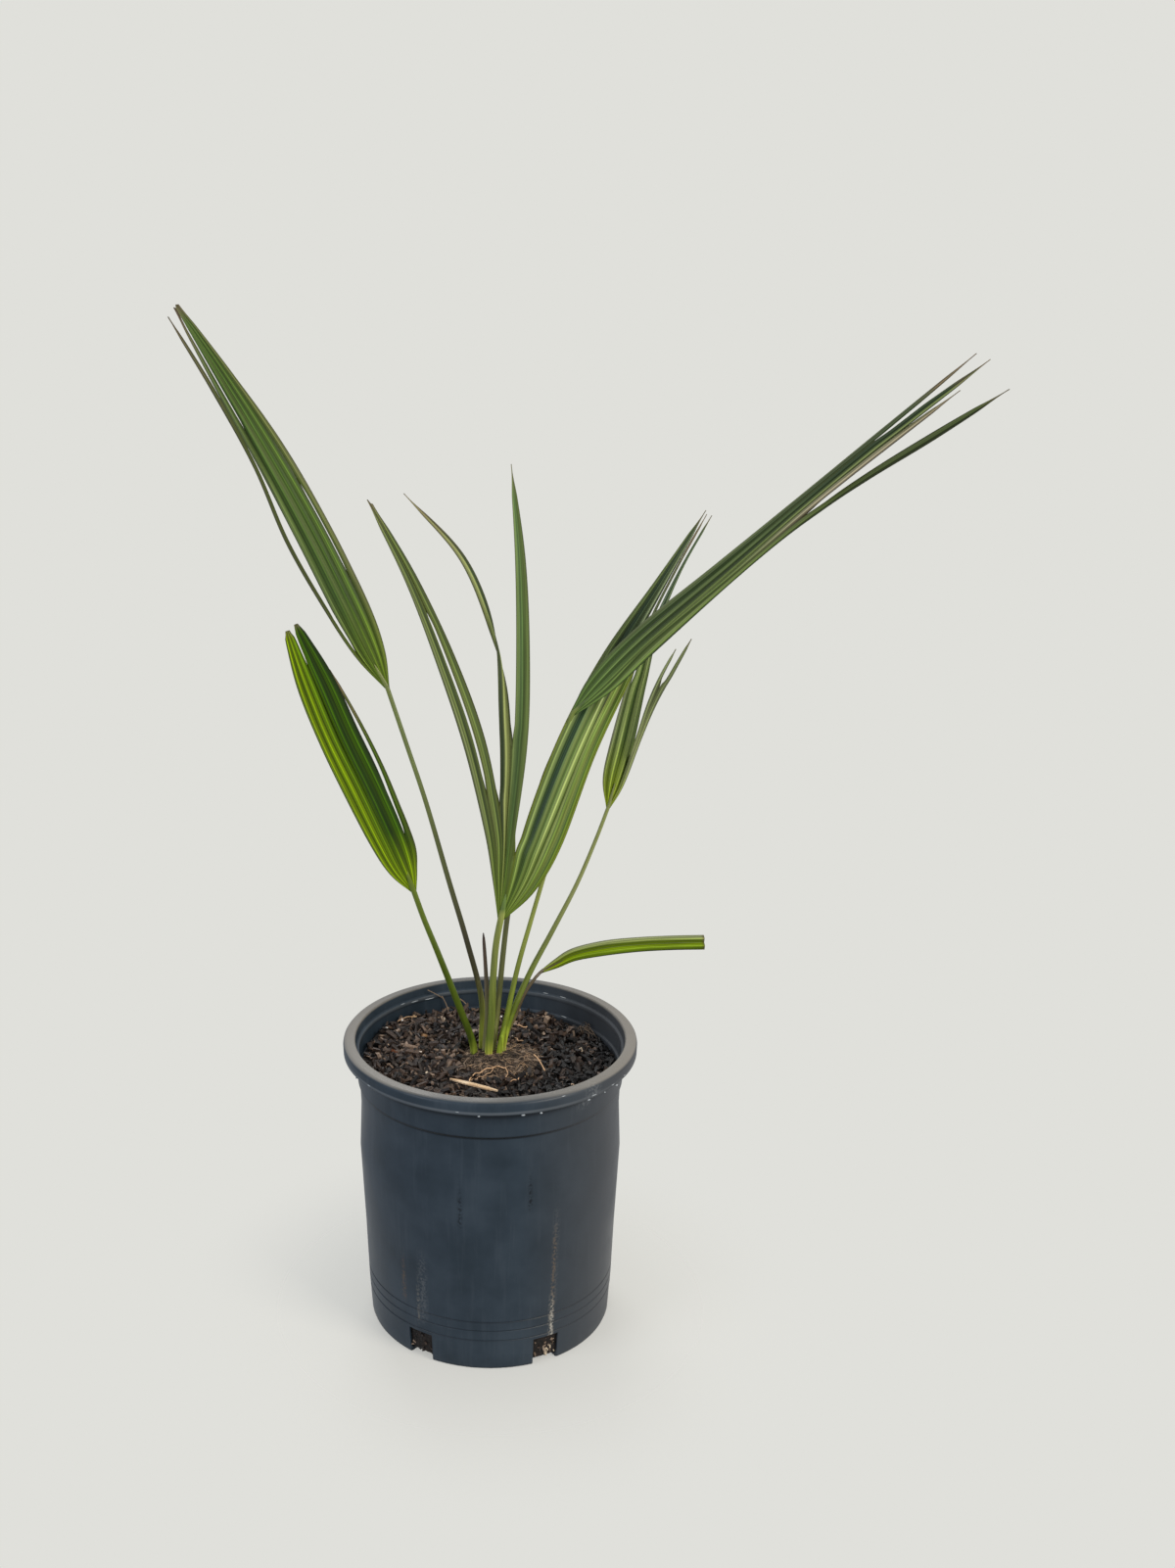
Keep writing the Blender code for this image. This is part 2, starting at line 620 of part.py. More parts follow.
def potting_mix(home):
    """The mix as a turned body with an uneven top, chips fused to it and a recess for the root ball."""
    play = WALL + CLEARANCE
    profile = [(0.0, MIX_LEVEL)] + [(r, MIX_LEVEL) for r in reversed(MIX_RINGS)]
    profile += [(wall_radius(z) - play, z) for z in (WAIST_Z, BELLY_Z, 100.0, 68.0)]
    profile += [(FOOT_R - play, FLOOR + 2.2), (FOOT_R - play - 2.0, FLOOR + CLEARANCE),
                (0.0, FLOOR + CLEARANCE)]
    made = turned("potting_mix", profile, POT_STEPS, home)
    for vert in made.data.vertices:
        x, y, z = vert.co / MM
        if z > WAIST_Z + 1.0:
            vert.co.z = mix_height(x, y) * MM
    rng = random.Random(CHIP_SEED)
    chips = collection("chips")
    while len(chips.objects) < CHIP_COUNT:
        out, angle = rng.uniform(38.0, 80.0), rng.uniform(0.0, math.tau)
        x, y = out * math.cos(angle), out * math.sin(angle)
        if math.hypot(x - BALL_X, y - BALL_Y) > BALL_R + CHIP_TO_BALL and not near_sliver(x, y):
            bm_object("chip_%02d" % len(chips.objects), chip(x, y, rng), chips)
    made = boolean(made, "UNION", chips)
    bpy.data.collections.remove(chips)
    bm = bmesh.new()
    deep = MIX_LEVEL + 20.0 - (BALL_FOOT_Z - CLEARANCE)
    bmesh.ops.create_cone(bm, cap_ends=True, segments=BALL_STEPS, radius1=BALL_FOOT_R + 1.0,
                          radius2=BALL_R + 1.5, depth=deep)
    bm.transform(Matrix.Translation((BALL_X, BALL_Y, BALL_FOOT_Z - CLEARANCE + deep / 2)))
    return boolean(made, "DIFFERENCE", bm_object("recess", bm, home))


def surface_root(index, places, home):
    """A thin root that lies half sunk along the root ball's top."""
    line = route([(x, y, 0.0) for x, y in places], 3 * len(places))
    curve = bpy.data.curves.new("surface_root_%d" % index, "CURVE")
    curve.dimensions = "3D"
    curve.bevel_depth = ROOT_R * MM
    curve.bevel_resolution = 0
    curve.use_fill_caps = True
    spline = curve.splines.new("POLY")
    spline.points.add(len(line) - 1)
    for point, place in zip(spline.points, line):
        rise = ball_height(place.x, place.y) + ROOT_RISE
        point.co = (place.x * MM, place.y * MM, rise * MM, 1.0)
    return settle(new_object(curve.name, curve, home), weld=True)


def root_ball(home):
    """The root ball, its surface roots, and a plain hole for each stem."""
    profile = [(r, BALL_TOP_Z) for r in (0.0, 8.0, 15.0, 21.0, 26.0, BALL_R - 1.5)]
    profile += [(BALL_R, BALL_EDGE_Z - 2.0), (BALL_FOOT_R, BALL_FOOT_Z), (0.0, BALL_FOOT_Z)]
    made = turned("root_ball", profile, BALL_STEPS, home)
    for vert in made.data.vertices:
        vert.co.x += BALL_X * MM
        vert.co.y += BALL_Y * MM
        x, y, z = vert.co / MM
        if z > BALL_EDGE_Z:
            vert.co.z = ball_height(x, y) * MM
    roots = collection("surface_roots")
    for index, places in enumerate(SURFACE_ROOTS):
        surface_root(index, places, roots)
    made = boolean(made, "UNION", roots)
    bpy.data.collections.remove(roots)
    holes = collection("stem_holes")
    for frond in FRONDS:
        bm = bmesh.new()
        radius = frond.foot_r + HOLE_PLAY
        bmesh.ops.create_cone(bm, cap_ends=True, segments=12, radius1=radius, radius2=radius,
                              depth=HOLE_DEEP)
        bm.transform(Matrix.Translation((*frond.foot, STEM_FOOT_Z - CLEARANCE + HOLE_DEEP / 2)))
        bm_object(frond.name + "_hole", bm, holes)
    made = boolean(made, "DIFFERENCE", holes)
    bpy.data.collections.remove(holes)
    return made


def wood_sliver(home):
    """A flat splinter with pointed ends that lies on the mix."""
    (ax, ay), (bx, by) = SLIVER_ENDS
    rest = max(mix_height(ax + (bx - ax) * i / 20, ay + (by - ay) * i / 20) for i in range(21))
    length = math.hypot(bx - ax, by - ay)
    bm = bmesh.new()
    bmesh.ops.create_cube(bm, size=1.0)
    long_edges = [edge for edge in bm.edges if abs(edge.verts[0].co.x - edge.verts[1].co.x) > 0.5]
    bmesh.ops.subdivide_edges(bm, edges=long_edges, cuts=3)
    for vert in bm.verts:
        narrow = 1.0 - 0.75 * abs(2.0 * vert.co.x) ** 3
        vert.co = (vert.co.x * length, vert.co.y * SLIVER_WIDTH * narrow, vert.co.z * SLIVER_THICK)
    bm.transform(Matrix.Rotation(math.atan2(by - ay, bx - ax), 4, "Z"))
    middle = ((ax + bx) / 2, (ay + by) / 2, rest + SLIVER_GAP + SLIVER_THICK / 2)
    bm.transform(Matrix.Translation(middle))
    return bm_object("wood_sliver", bm, home)


def finish(obj, paint):
    obj.data.materials.clear()
    obj.data.materials.append(paint)
    obj.data.shade_smooth()
    obj.data.set_sharp_from_angle(angle=math.radians(35.0))


def build():
    for old in list(bpy.data.objects):
        bpy.data.objects.remove(old)
    home = collection("potted_cabbage_palm")
    finish(pot(home), material("pot_plastic", (0.026, 0.032, 0.040), 0.42))
    finish(potting_mix(home), material("bark_mix", (0.030, 0.020, 0.015), 0.95))
    finish(root_ball(home), material("matted_roots", (0.105, 0.070, 0.040), 0.95))
    finish(wood_sliver(home), material("pale_wood", (0.620, 0.430, 0.260), 0.75))
    for frond in FRONDS:
        made = stem(frond, home)
        if frond.segments:
            made = boolean(made, "UNION", blade(frond, home))
        finish(made, material(frond.name + "_green", frond.colour, 0.45))


build()
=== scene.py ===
import math
import random
from dataclasses import dataclass

import bmesh
import bpy
from mathutils import Matrix, Vector, noise


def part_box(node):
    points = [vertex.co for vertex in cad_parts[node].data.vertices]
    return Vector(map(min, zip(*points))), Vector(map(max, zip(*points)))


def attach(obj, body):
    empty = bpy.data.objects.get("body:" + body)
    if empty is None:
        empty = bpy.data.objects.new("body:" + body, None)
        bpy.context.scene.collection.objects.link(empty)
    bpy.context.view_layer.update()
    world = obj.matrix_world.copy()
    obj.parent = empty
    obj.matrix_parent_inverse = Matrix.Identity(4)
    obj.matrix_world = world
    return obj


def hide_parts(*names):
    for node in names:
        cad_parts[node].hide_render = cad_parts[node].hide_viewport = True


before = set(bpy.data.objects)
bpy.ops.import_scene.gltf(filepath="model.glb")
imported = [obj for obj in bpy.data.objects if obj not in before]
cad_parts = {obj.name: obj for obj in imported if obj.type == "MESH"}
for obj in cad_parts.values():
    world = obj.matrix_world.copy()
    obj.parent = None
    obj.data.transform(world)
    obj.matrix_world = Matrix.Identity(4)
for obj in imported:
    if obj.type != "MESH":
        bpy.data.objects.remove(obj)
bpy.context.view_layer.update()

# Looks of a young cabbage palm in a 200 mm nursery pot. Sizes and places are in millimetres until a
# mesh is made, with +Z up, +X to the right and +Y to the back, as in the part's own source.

MM = 0.001
MERGE = 0.001
FINE_MERGE = 0.0001

# Pot
POT_HEIGHT = 207.0
POT_STEPS = 144
WALL = 1.4
RIM_OUTER_R = 100.0
RIM_INNER_R = 92.0
RIM_BAND = 9.5
COLLAR_R = 90.4
COLLAR_FOOT_Z = 177.0
BELLY_R = 89.8
BELLY_Z = 128.0
WAIST_R = 88.5
WAIST_Z = 160.0
FOOT_R = 84.0
FOOT_ROUND = 2.2
FLOOR = 2.2
UPPER_LEDGE_Z = 200.0
LOWER_LEDGE_Z = 186.0
BASE_RINGS_Z = (37.5, 30.5, 23.0)
RING_DEPTH = 0.5
SLOT_COUNT = 6
SLOT_FIRST_DEG = 26.2
SLOT_DEG = 12.5
SLOT_TOP_Z = 20.5
SLOT_INNER_R = 74.5
# The wall below the collar, each (height, outer radius).
WALL_MARKS = [(0.0, FOOT_R - FOOT_ROUND), (FOOT_ROUND, FOOT_R), (28.0, 85.6), (68.0, 87.0), (100.0, WAIST_R),
              (BELLY_Z, BELLY_R), (WAIST_Z, WAIST_R), (COLLAR_FOOT_Z, 89.2)]

# Potting mix and root ball
MIX_LEVEL = 184.5
MIX_R = 86.0
CHIP_SHAPES = 10
CHIP_PITCH = 2.3
CHIP_LEAST, CHIP_MOST = 2.0, 10.0
CHIP_REACH_R = 87.4
CHIPS_A_SLOT = 46
SLOT_CHIP_R = 82.0
FIBRE_COUNT = 620
FIBRE_POINTS = 7
FIBRE_STEP = 1.7
ROOT_RISE = 2.7
STRAW_COUNT = 20
STRAW_X, STRAW_Y, STRAW_Z = 66, 50, 184.0
SPLINTER_START = (-27.0, -29.5)
SPLINTER_END = (5.0, -46.5)
SPLINTER_WIDE = 3.4
SPLINTER_THICK = 1.2
SPLINTER_RISE = 0.8
BALL_X, BALL_Y = 7.0, 5.0
BALL_R = 31.0
BALL_RINGS = 26
BALL_STEPS = 96
BALL_TOP_Z = 188.0
BALL_EDGE_Z = 184.0
BALL_FOOT_Z = 118.0
BALL_FOOT_R = 27.0
STEM_FOOT_Z = 170.0
STRAIGHT_FOOT = 10.0
COLLAR_Z = 190.0

# Fronds
BLADE_THICK = 0.45
ROW_PITCH = 3.0
COLUMNS_A_PLEAT = 8
FOLD = 0.3
FOLD_SHARP = 0.65
FLAT_COLUMN = 0.8
FOLDED_COLUMN = 1.6
PARTING = 0.1
PARTING_BLEND = 0.05
SPAN_STEPS = 24
FINE_STEPS = 240
RIDGE_R = 3.0
BACK = Vector((0.0, 1.0, -0.315))
SLIT = 1.6
BASE_SPREAD = 1.9
BASE_SUNK = 2.0
ALWAYS_JOINED = 12.0
TIP_WIDTH = 0.5
POINTED_BELOW = 2.5
CUT_ABOVE = 8.0
# Where a tip starts to narrow, as a share of its strip, and how much of its width goes.
POINTED_TIP = (0.93, 0.75)
BLUNT_TIP = (0.97, 0.5)
DRY_PATCH = 9.0
DRY_RAGGED = 0.25
STALK_PITCH = 4.0
STALK_SIDES = 14
# The midrib that a stem sends into its blade, each (share of its length, share of the stem's radius).
COSTA = 16.0
COSTA_THINS = ((0.2, 0.92), (0.35, 0.85), (0.5, 0.75), (0.7, 0.6), (0.85, 0.45), (1.0, 0.2))
LEAF_NUMBERS = ("across", "along", "dry", "edge")
STALK_NUMBERS = ("across", "along")

# Finishes
OUTER_FROM, OUTER_TO = 0.4, 0.68
STREAKS_A_PLEAT = 4.0
VEINS_A_PLEAT = 5.0
MEAN_RIB = 0.46
# Most of what a noise texture gives lies between these two.
NOISE_RANGE = {"From Min": 0.3, "From Max": 0.7}
# A near-black for painted shade on the pot.
PAINTED_SHADE = "#0e1216"

# Studio, in millimetres and degrees, with the lens as the photograph's framing needs it.
FLOOR_R = 1000.0
FADE_NEAR, FADE_FAR = 85.0, 240.0
LENS = 40.654
LENS_SHIFT = 0.0621
CAMERA_FRONT = 1100.0
CAMERA_HEIGHT = 731.8
CAMERA_DOWN_DEG = 17.47
LIT_MIDDLE_Z = 250.0

# Stripes at both sides of the centre blade, the same from its foot to its tips.
CENTRE_LEFT = [
    (0.0, "#626e46"), (0.025, "#969f6c"), (0.05, "#7c8852"), (0.062, "#3e4a2e"), (0.11, "#687444"),
    (0.115, "#8a925c"), (0.16, "#76844c"), (0.18, "#485634"), (0.22, "#6c7844"), (0.225, "#667048"),
    (0.25, "#3c4a38"), (0.28, "#98a068"), (0.33, "#808a56"), (0.335, "#8c9c62"), (0.372, "#688050"),
    (0.392, "#3c4c2a"), (0.44, "#84985c"),
]
CENTRE_RIGHT = [(0.782, "#a0ae6c"), (0.83, "#6c8242"), (0.88, "#909e5c"), (0.93, "#4e642e"), (1.0, "#8a9a40")]


@dataclass
class Segment:
    """One pleated strip of a blade, through places of (x, y, z, width) from its base to its tip.

    `joined` is the share of its length along which it is still one with the strip on its left, `lift`
    is how far it then stands out in front of that strip, `twist` is where a turn starts and ends along
    it, with the turn in degrees, `dry` is where it starts to turn brown and where it is all brown,
    `closes` is where the slit on its left closes up again, and `slit` is how wide that slit is at least.
    """

    places: list
    pleats: int
    joined: float = 0.0
    lift: float = 0.0
    twist: tuple = (0.0, 1.0, 0.0)
    dry: tuple = (0.93, 1.04)
    closes: float = 1.1
    slit: float = SLIT


@dataclass
class Frond:
    """A leaf: its foot in the root ball, its stem, and the blade's strips from left to right.

    `lean` is how far the blade turns its right side back, and how far both its edges fold back, in
    degrees. `stripes` are colours from the blade's left edge to its right one, `base` is the tint at its
    foot, `stalk` the colours along the stem, and `relief` how strongly the ribs, with the painted light and
    shade of their flanks, stand out in tone.
    `outer` are the stripes of the blade's outer half, where they differ.
    """

    name: str
    foot: tuple
    foot_r: float
    top_r: float
    stem: list
    facing: tuple
    segments: list
    lean: tuple
    stripes: list
    base: str
    stalk: list
    relief: float = 0.6
    outer: list = None


FRONDS = [
    Frond(
        "upper_left", (-6.0, 19.5), 2.0, 1.5,
        [(-6, 20, 224), (-16, 23, 266), (-28, 27, 308), (-43, 32, 362), (-56, 37, 402), (-69, 43, 441)],
        (0.0, -1.0, 0.0),
        [
            Segment([(-88, 44, 460, 2.2), (-106.5, 47, 488, 2.4), (-132.5, 50, 535, 2.6),
                     (-152.5, 55, 584, 2.4), (-178, 60, 632, 2.6), (-206, 66, 678, 1.3)], 1,
                    dry=(0.7, 1.15)),
            Segment([(-85, 46, 459.2, 3.9), (-100.8, 49, 488.3, 5), (-125, 55, 537.3, 5),
                     (-150.7, 62, 586.8, 4.4), (-177.4, 71, 633.8, 3), (-204, 80, 682.5, 1.3)], 1,
                    joined=0.1, dry=(0.8, 1.0)),
            Segment([(-78.3, 46, 463, 11.6), (-91.8, 49, 493.2, 15), (-115.8, 55, 542.2, 15),
                     (-143.1, 62, 591.1, 13.1), (-171.4, 71, 636.7, 9), (-202.6, 80, 684, 2.4)], 3,
                    joined=0.66, lift=-0.8, closes=0.93, slit=0.5),
            Segment([(-71, 45, 464, 3), (-82, 49, 495, 3.9), (-107, 55, 546, 3.9), (-135, 62, 595, 3.4),
                     (-167, 71, 640, 2.3), (-201, 80, 684, 1.3)], 1, joined=0.27, lift=-1.0, closes=0.48,
                    slit=0.6),
        ],
        (-24.0, 14.0),
        [(0.0, "#4a4e32"), (0.15, "#586034"), (0.17, "#5c6e3e"), (0.24, "#70804c"), (0.3, "#566a38"),
         (0.4, "#48602e"), (0.46, "#627640"), (0.5, "#7c8c54"), (0.55, "#546a34"), (0.62, "#48602c"),
         (0.7, "#687c42"), (0.76, "#587034"), (0.8, "#405624"), (0.84, "#5a6c34"), (0.9, "#727a4a"),
         (1.0, "#5a6038")],
        "#728634",
        [(0.0, "#c0c860"), (0.06, "#a4b048"), (0.11, "#6c7434"), (0.18, "#464424"), (0.3, "#403c24"),
         (0.55, "#5c6436"), (0.85, "#7c8a4c"), (1.0, "#8a944c")],
    ),
    Frond(
        "lower_left", (-11.3, 13.0), 2.5, 1.8,
        [(-19.5, 4, 221), (-27, -3, 246), (-35.3, -11, 273), (-43.5, -19, 299), (-50, -27, 323)],
        (0.0, -1.0, 0.0),
        [
            Segment([(-61, -30, 336, 8.3), (-71, -34, 357, 11.7), (-86, -41, 394, 13.4),
                     (-100, -50, 430, 12.6), (-111.5, -60, 467, 11.8), (-120.5, -70, 503, 5.2)], 3,
                    dry=(0.965, 1.03)),
            Segment([(-53, -30, 340, 7.4), (-60, -34, 362, 11.5), (-74, -41, 399, 13.4),
                     (-88, -49, 435, 12.7), (-101, -60, 472, 11.4), (-115.3, -70, 507, 4.4)], 2,
                    joined=0.85, dry=(0.965, 1.03), slit=0.8),
            Segment([(-49, -29, 337, 3.4), (-51, -31, 354, 5.2), (-59.8, -36, 382, 4.6),
                     (-69, -40, 410, 2.8), (-81.5, -45, 440, 2.0), (-98, -50, 474, 1.4)], 1, joined=0.24,
                    lift=-1.2, dry=(0.6, 1.2), slit=1.2),
        ],
        (12.0, 30.0),
        # Its left half is painted lighter, as lit through from behind, and its right half painted darker, as
        # in shade, over the stripes of its pleats.
        [(0.0, "#3a4a08"), (0.03, "#68800a"), (0.1, "#7c9408"), (0.2, "#6c860a"), (0.3, "#84a010"),
         (0.4, "#5f7c0c"), (0.5, "#527010"), (0.57, "#34520a"), (0.62, "#223c06"), (0.67, "#466610"),
         (0.72, "#35520c"), (0.77, "#2c480a"), (0.82, "#1f3608"), (0.85, "#3c5618"), (1.0, "#4a5824")],
        "#7f980a",
        [(0.0, "#a8b050"), (0.05, "#8a9c34"), (0.1, "#566a1c"), (0.6, "#5c701c"), (1.0, "#728620")],
        0.95,
    ),
    Frond(
        "centre", (-1.0, 8.0), 2.6, 2.2,
        [(1, 6, 216), (2, 5, 245), (4, 5, 271), (7.5, 5, 291)],
        (0.0, -1.0, 0.0),
        [
            Segment([(3, 4, 318, 2.8), (-1, 3, 353, 5.8), (-13, 1, 410, 7.6), (-30, -3, 465, 6.8),
                     (-50, -10, 520, 4.6), (-75, -18, 573, 1.3)], 1),
            Segment([(6, 4, 318, 2.6), (5, 3, 354, 5.3), (-6, 1, 412, 7), (-24, -3, 467, 6.3),
                     (-47, -10, 522, 4.2), (-72, -17, 570, 1.3)], 1, joined=0.3, lift=-0.6, closes=0.7),
            Segment([(8, 6, 318, 2.8), (9, 8, 354, 5.1), (10, 10, 414, 7.4), (4, 15, 472, 5.2),
                     (-16, 22, 527, 4.4), (-55, 30, 570, 1.3)], 1, joined=0.26, twist=(0.45, 0.75, 180.0),
                    dry=(0.75, 1.1)),
            Segment([(10, 5, 318, 2.7), (14, 5, 354, 6.4), (20, 6, 414, 8.9), (21, 5, 472, 8.6),
                     (19, 4, 532, 6.5), (13, 2, 592, 1.3)], 1, joined=0.4),
            Segment([(20, 8, 315, 9.5), (31, 12, 350, 17), (54, 27, 406, 19), (81.5, 50, 456, 16),
                     (113, 70, 503, 8), (145, 90, 550, 1.3)], 3, joined=0.15),
            Segment([(27, 8, 310, 7.1), (43, 12, 341, 10.2), (65, 26, 398, 9.4), (87.5, 45, 440, 7.4),
                     (106, 62, 470, 1.4)], 2, joined=0.84, lift=-1.8),
        ],
        (0.0, 0.0),
        CENTRE_LEFT + [
            (0.448, "#a0ac50"), (0.47, "#6a7a46"), (0.51, "#80905c"), (0.55, "#567044"), (0.575, "#2b402e"),
            (0.6, "#3e5638"), (0.635, "#84945e"), (0.68, "#6c8448"), (0.72, "#9caa6c"), (0.77, "#5a7038"),
        ] + CENTRE_RIGHT,
        "#63782e",
        [(0.0, "#d8d890"), (0.05, "#b8c050"), (0.08, "#a8b448"), (0.14, "#76883a"), (0.5, "#838f42"),
         (0.83, "#8a9448"), (0.88, "#54682e"), (1.0, "#4a5e2a")],
        0.6,
        CENTRE_LEFT + [
            (0.448, "#5e6a44"), (0.5, "#58663e"), (0.545, "#46563a"), (0.575, "#2c3c2c"), (0.61, "#3c4c34"),
            (0.65, "#505e40"), (0.69, "#404e34"), (0.715, "#8e9a76"), (0.735, "#485638"), (0.778, "#565e40"),
        ] + CENTRE_RIGHT,
    ),
    Frond(
        "middle", (6.5, 8.5), 2.0, 1.5,
        [(12, 13, 217), (19, 18, 249), (28, 24, 281), (37, 30, 312)],
        (0.0, -1.0, 1.0),
        [Segment([(43, 44, 328, 8.5), (49, 56, 344, 9.7), (56, 72, 357, 9.1), (65, 89, 368, 6.1),
                  (74, 105, 379, 1.4)], 2)],
        (0.0, 0.0),
        [(0.0, "#4f6b30"), (0.5, "#6d8b3a"), (0.9, "#a3b54a"), (1.0, "#b5c25a")],
        "#a5b04a",
        [(0.0, "#b4bc60"), (0.05, "#98ac38"), (0.12, "#7c8f2a"), (0.5, "#86933a"), (1.0, "#939c50")],
    ),
    Frond(
        "long_right", (1.8, 13.8), 2.0, 1.5,
        [(4, 15, 206), (12, 22, 286), (21, 27, 329), (31, 30, 363), (38, 32, 386), (55, 30, 426)],
        (0.0, -1.0, 0.0),
        [
            Segment([(68, 29, 450, 4.5), (96, 27, 481, 5.1), (146, 18, 526, 4.4), (194, 2, 572, 3.1),
                     (241, -18, 618, 3), (285, -38, 662, 1.3)], 1, dry=(0.84, 1.0)),
            Segment([(73, 29, 446, 8.2), (101.5, 27, 476, 8.8), (150, 18, 522.4, 6.8),
                     (198, 2, 570, 5.3), (244, -18, 615, 5.2), (292, -40, 658.5, 1.8)], 2, joined=0.75,
                    lift=1.8, dry=(0.9, 1.02)),
            Segment([(76, 29, 444, 4), (103.2, 27, 474, 3.8), (153, 18, 519.6, 2.9), (201, 2, 568, 3.8),
                     (240, -15, 605, 3.8), (278, -31, 639, 1.3)], 1, joined=0.7, lift=-1.0,
                    dry=(0.9, 1.02), slit=0.5),
            Segment([(80, 29, 441.5, 1.6), (108.2, 27, 469.6, 2.2), (155.4, 18, 517.4, 2.2),
                     (192, 6, 553, 2.8), (230, -4.4, 583, 4.2), (267.7, -19.4, 611, 4.6),
                     (306, -34, 639.3, 1.3)], 1, joined=0.58, lift=-2.8, dry=(0.93, 1.02)),
        ],
        (-15.0, 12.0),
        [(0.0, "#8c9874"), (0.05, "#58643e"), (0.12, "#36452a"), (0.22, "#425330"), (0.28, "#5e6c44"),
         (0.34, "#3c4b2b"), (0.43, "#323f25"), (0.49, "#566638"), (0.56, "#7a885a"), (0.62, "#586a3a"),
         (0.7, "#6c7c4a"), (0.77, "#4e6036"), (0.84, "#768450"), (0.92, "#5a6c3a"), (1.0, "#38482a")],
        "#5e7840",
        [(0.0, "#b5b67a"), (0.05, "#8a8a58"), (0.1, "#62643a"), (0.35, "#5c6038"), (0.6, "#566034"),
         (0.92, "#6a7836"), (0.95, "#4a5e2e"), (1.0, "#4a5e2e")],
        0.6,
        [(0.0, "#7c8664"), (0.06, "#4a5438"), (0.14, "#37432e"), (0.19, "#6c7850"), (0.22, "#5a6644"),
         (0.26, "#36442c"), (0.36, "#2a3824"), (0.44, "#46562f"), (0.5, "#747e52"), (0.56, "#38462a"),
         (0.6, "#56623a"), (0.63, "#7e7e62"), (0.73, "#9a927c"), (0.79, "#746c58"), (0.805, "#444e2c"),
         (0.85, "#4e5a32"), (0.92, "#2f3920"), (1.0, "#464f2c")],
    ),
    Frond(
        "small_right", (8.8, 14.0), 2.2, 1.3,
        [(14, 17, 211), (27, 26, 240), (43, 36, 268), (60, 46, 299), (73, 55, 328), (82, 61, 351)],
        (0.0, -1.0, 0.0),
        [
            Segment([(79, 64, 369, 2.5), (84, 68, 393, 3.2), (95, 74, 434, 2.7), (108, 82, 473, 2),
                     (127, 91, 511, 1.5), (147, 100, 546, 1.3)], 1, dry=(0.6, 1.1)),
            Segment([(86, 64, 368, 9), (92, 68, 392, 12.4), (101, 74, 432, 10.6), (112, 82, 472, 6.1),
                     (129, 91, 510, 2.9), (150, 100, 545, 1.4)], 2, joined=0.4, lift=1.6),
            Segment([(88, 61, 361, 1.5), (92.5, 61, 375, 1.9), (100.5, 61, 400, 2.2), (108, 60, 425, 2.5),
                     (115.5, 57, 445, 2.2), (124, 54, 463, 1.3)], 1, joined=0.3),
            Segment([(89, 61, 361, 1.5), (94.5, 61, 375, 1.9), (102.7, 61, 400, 2.2), (111.5, 59, 424, 2.5),
                     (122.5, 55, 448, 2.6), (134, 52, 471, 1.3)], 1, joined=0.7, lift=1.6),
        ],
        (0.0, 15.0),
        [(0.0, "#94947a"), (0.1, "#828e62"), (0.19, "#647446"), (0.21, "#5a6e38"), (0.28, "#9aa86a"),
         (0.34, "#6a8048"), (0.4, "#465c2e"), (0.46, "#9aa866"), (0.52, "#82925e"), (0.58, "#5a7038"),
         (0.62, "#8a9466"), (0.8, "#949c70"), (1.0, "#7c865a")],
        "#86981f",
        [(0.0, "#c8cc80"), (0.05, "#a4b040"), (0.12, "#6a7c24"), (0.35, "#748234"), (0.6, "#8f965c"),
         (1.0, "#8a9450")],
        0.6,
        [(0.0, "#6e7658"), (0.12, "#5c6846"), (0.2, "#44563a"), (0.28, "#64745a"), (0.36, "#4a5c42"),
         (0.44, "#3a4c34"), (0.5, "#6e7c5a"), (0.58, "#54643e"), (0.64, "#828c66"), (0.8, "#7c865e"),
         (1.0, "#6c7650")],
    ),
    Frond(
        "cut_low", (9.3, 19.5), 1.5, 1.1,
        [(17, 25, 208), (24, 31, 223), (32, 37, 233), (37, 42, 236)],
        (0.0, -0.9, 0.45),
        [Segment([(46, 44, 239.8, 6.2), (59, 48, 245.2, 9.0), (81, 53, 248, 10.5), (105, 58, 248.6, 10.2),
                  (129, 62, 248.2, 10.1), (152, 66, 247, 10.2)], 2, dry=(0.985, 1.01))],
        (0.0, 0.0),
        [(0.0, "#5c6644"), (0.07, "#949c74"), (0.24, "#7c8850"), (0.34, "#5a6c1c"), (0.46, "#647816"),
         (0.6, "#70880f"), (0.8, "#6c8610"), (0.94, "#5c7210"), (1.0, "#485812")],
        "#7d8a3a",
        [(0.0, "#8a8a50"), (0.4, "#5c4f34"), (1.0, "#4f4630")],
        0.5,
    ),
    Frond(
        "spear", (-3.4, 13.4), 2.1, 1.2,
        [(-1.9, 12, 215), (-2.2, 11, 232), (-3, 10.5, 250), (-4.6, 10, 277)],
        (0.0, -1.0, 0.0), [], (0.0, 0.0), [], "",
        [(0.0, "#9a9a6a"), (0.35, "#868460"), (0.6, "#7a6f5a"), (0.8, "#665444"), (1.0, "#382a26")],
    ),
]


def colour(shade, alpha=1.0):
    """A linear colour from an sRGB hex value, or a grey from a plain number."""
    if not isinstance(shade, str):
        return (shade, shade, shade, alpha)
    parts = [int(shade[i:i + 2], 16) / 255 for i in (1, 3, 5)]
    return (*[c / 12.92 if c <= 0.04045 else ((c + 0.055) / 1.055) ** 2.4 for c in parts], alpha)


def connect(tree, node, inputs):
    """Set a node's inputs to values, or link them to other nodes."""
    for socket, value in inputs.items():
        if isinstance(value, bpy.types.Node):
            value = value.outputs[0]
        if isinstance(value, bpy.types.NodeSocket):
            tree.links.new(value, node.inputs[socket])
        else:
            node.inputs[socket].default_value = value


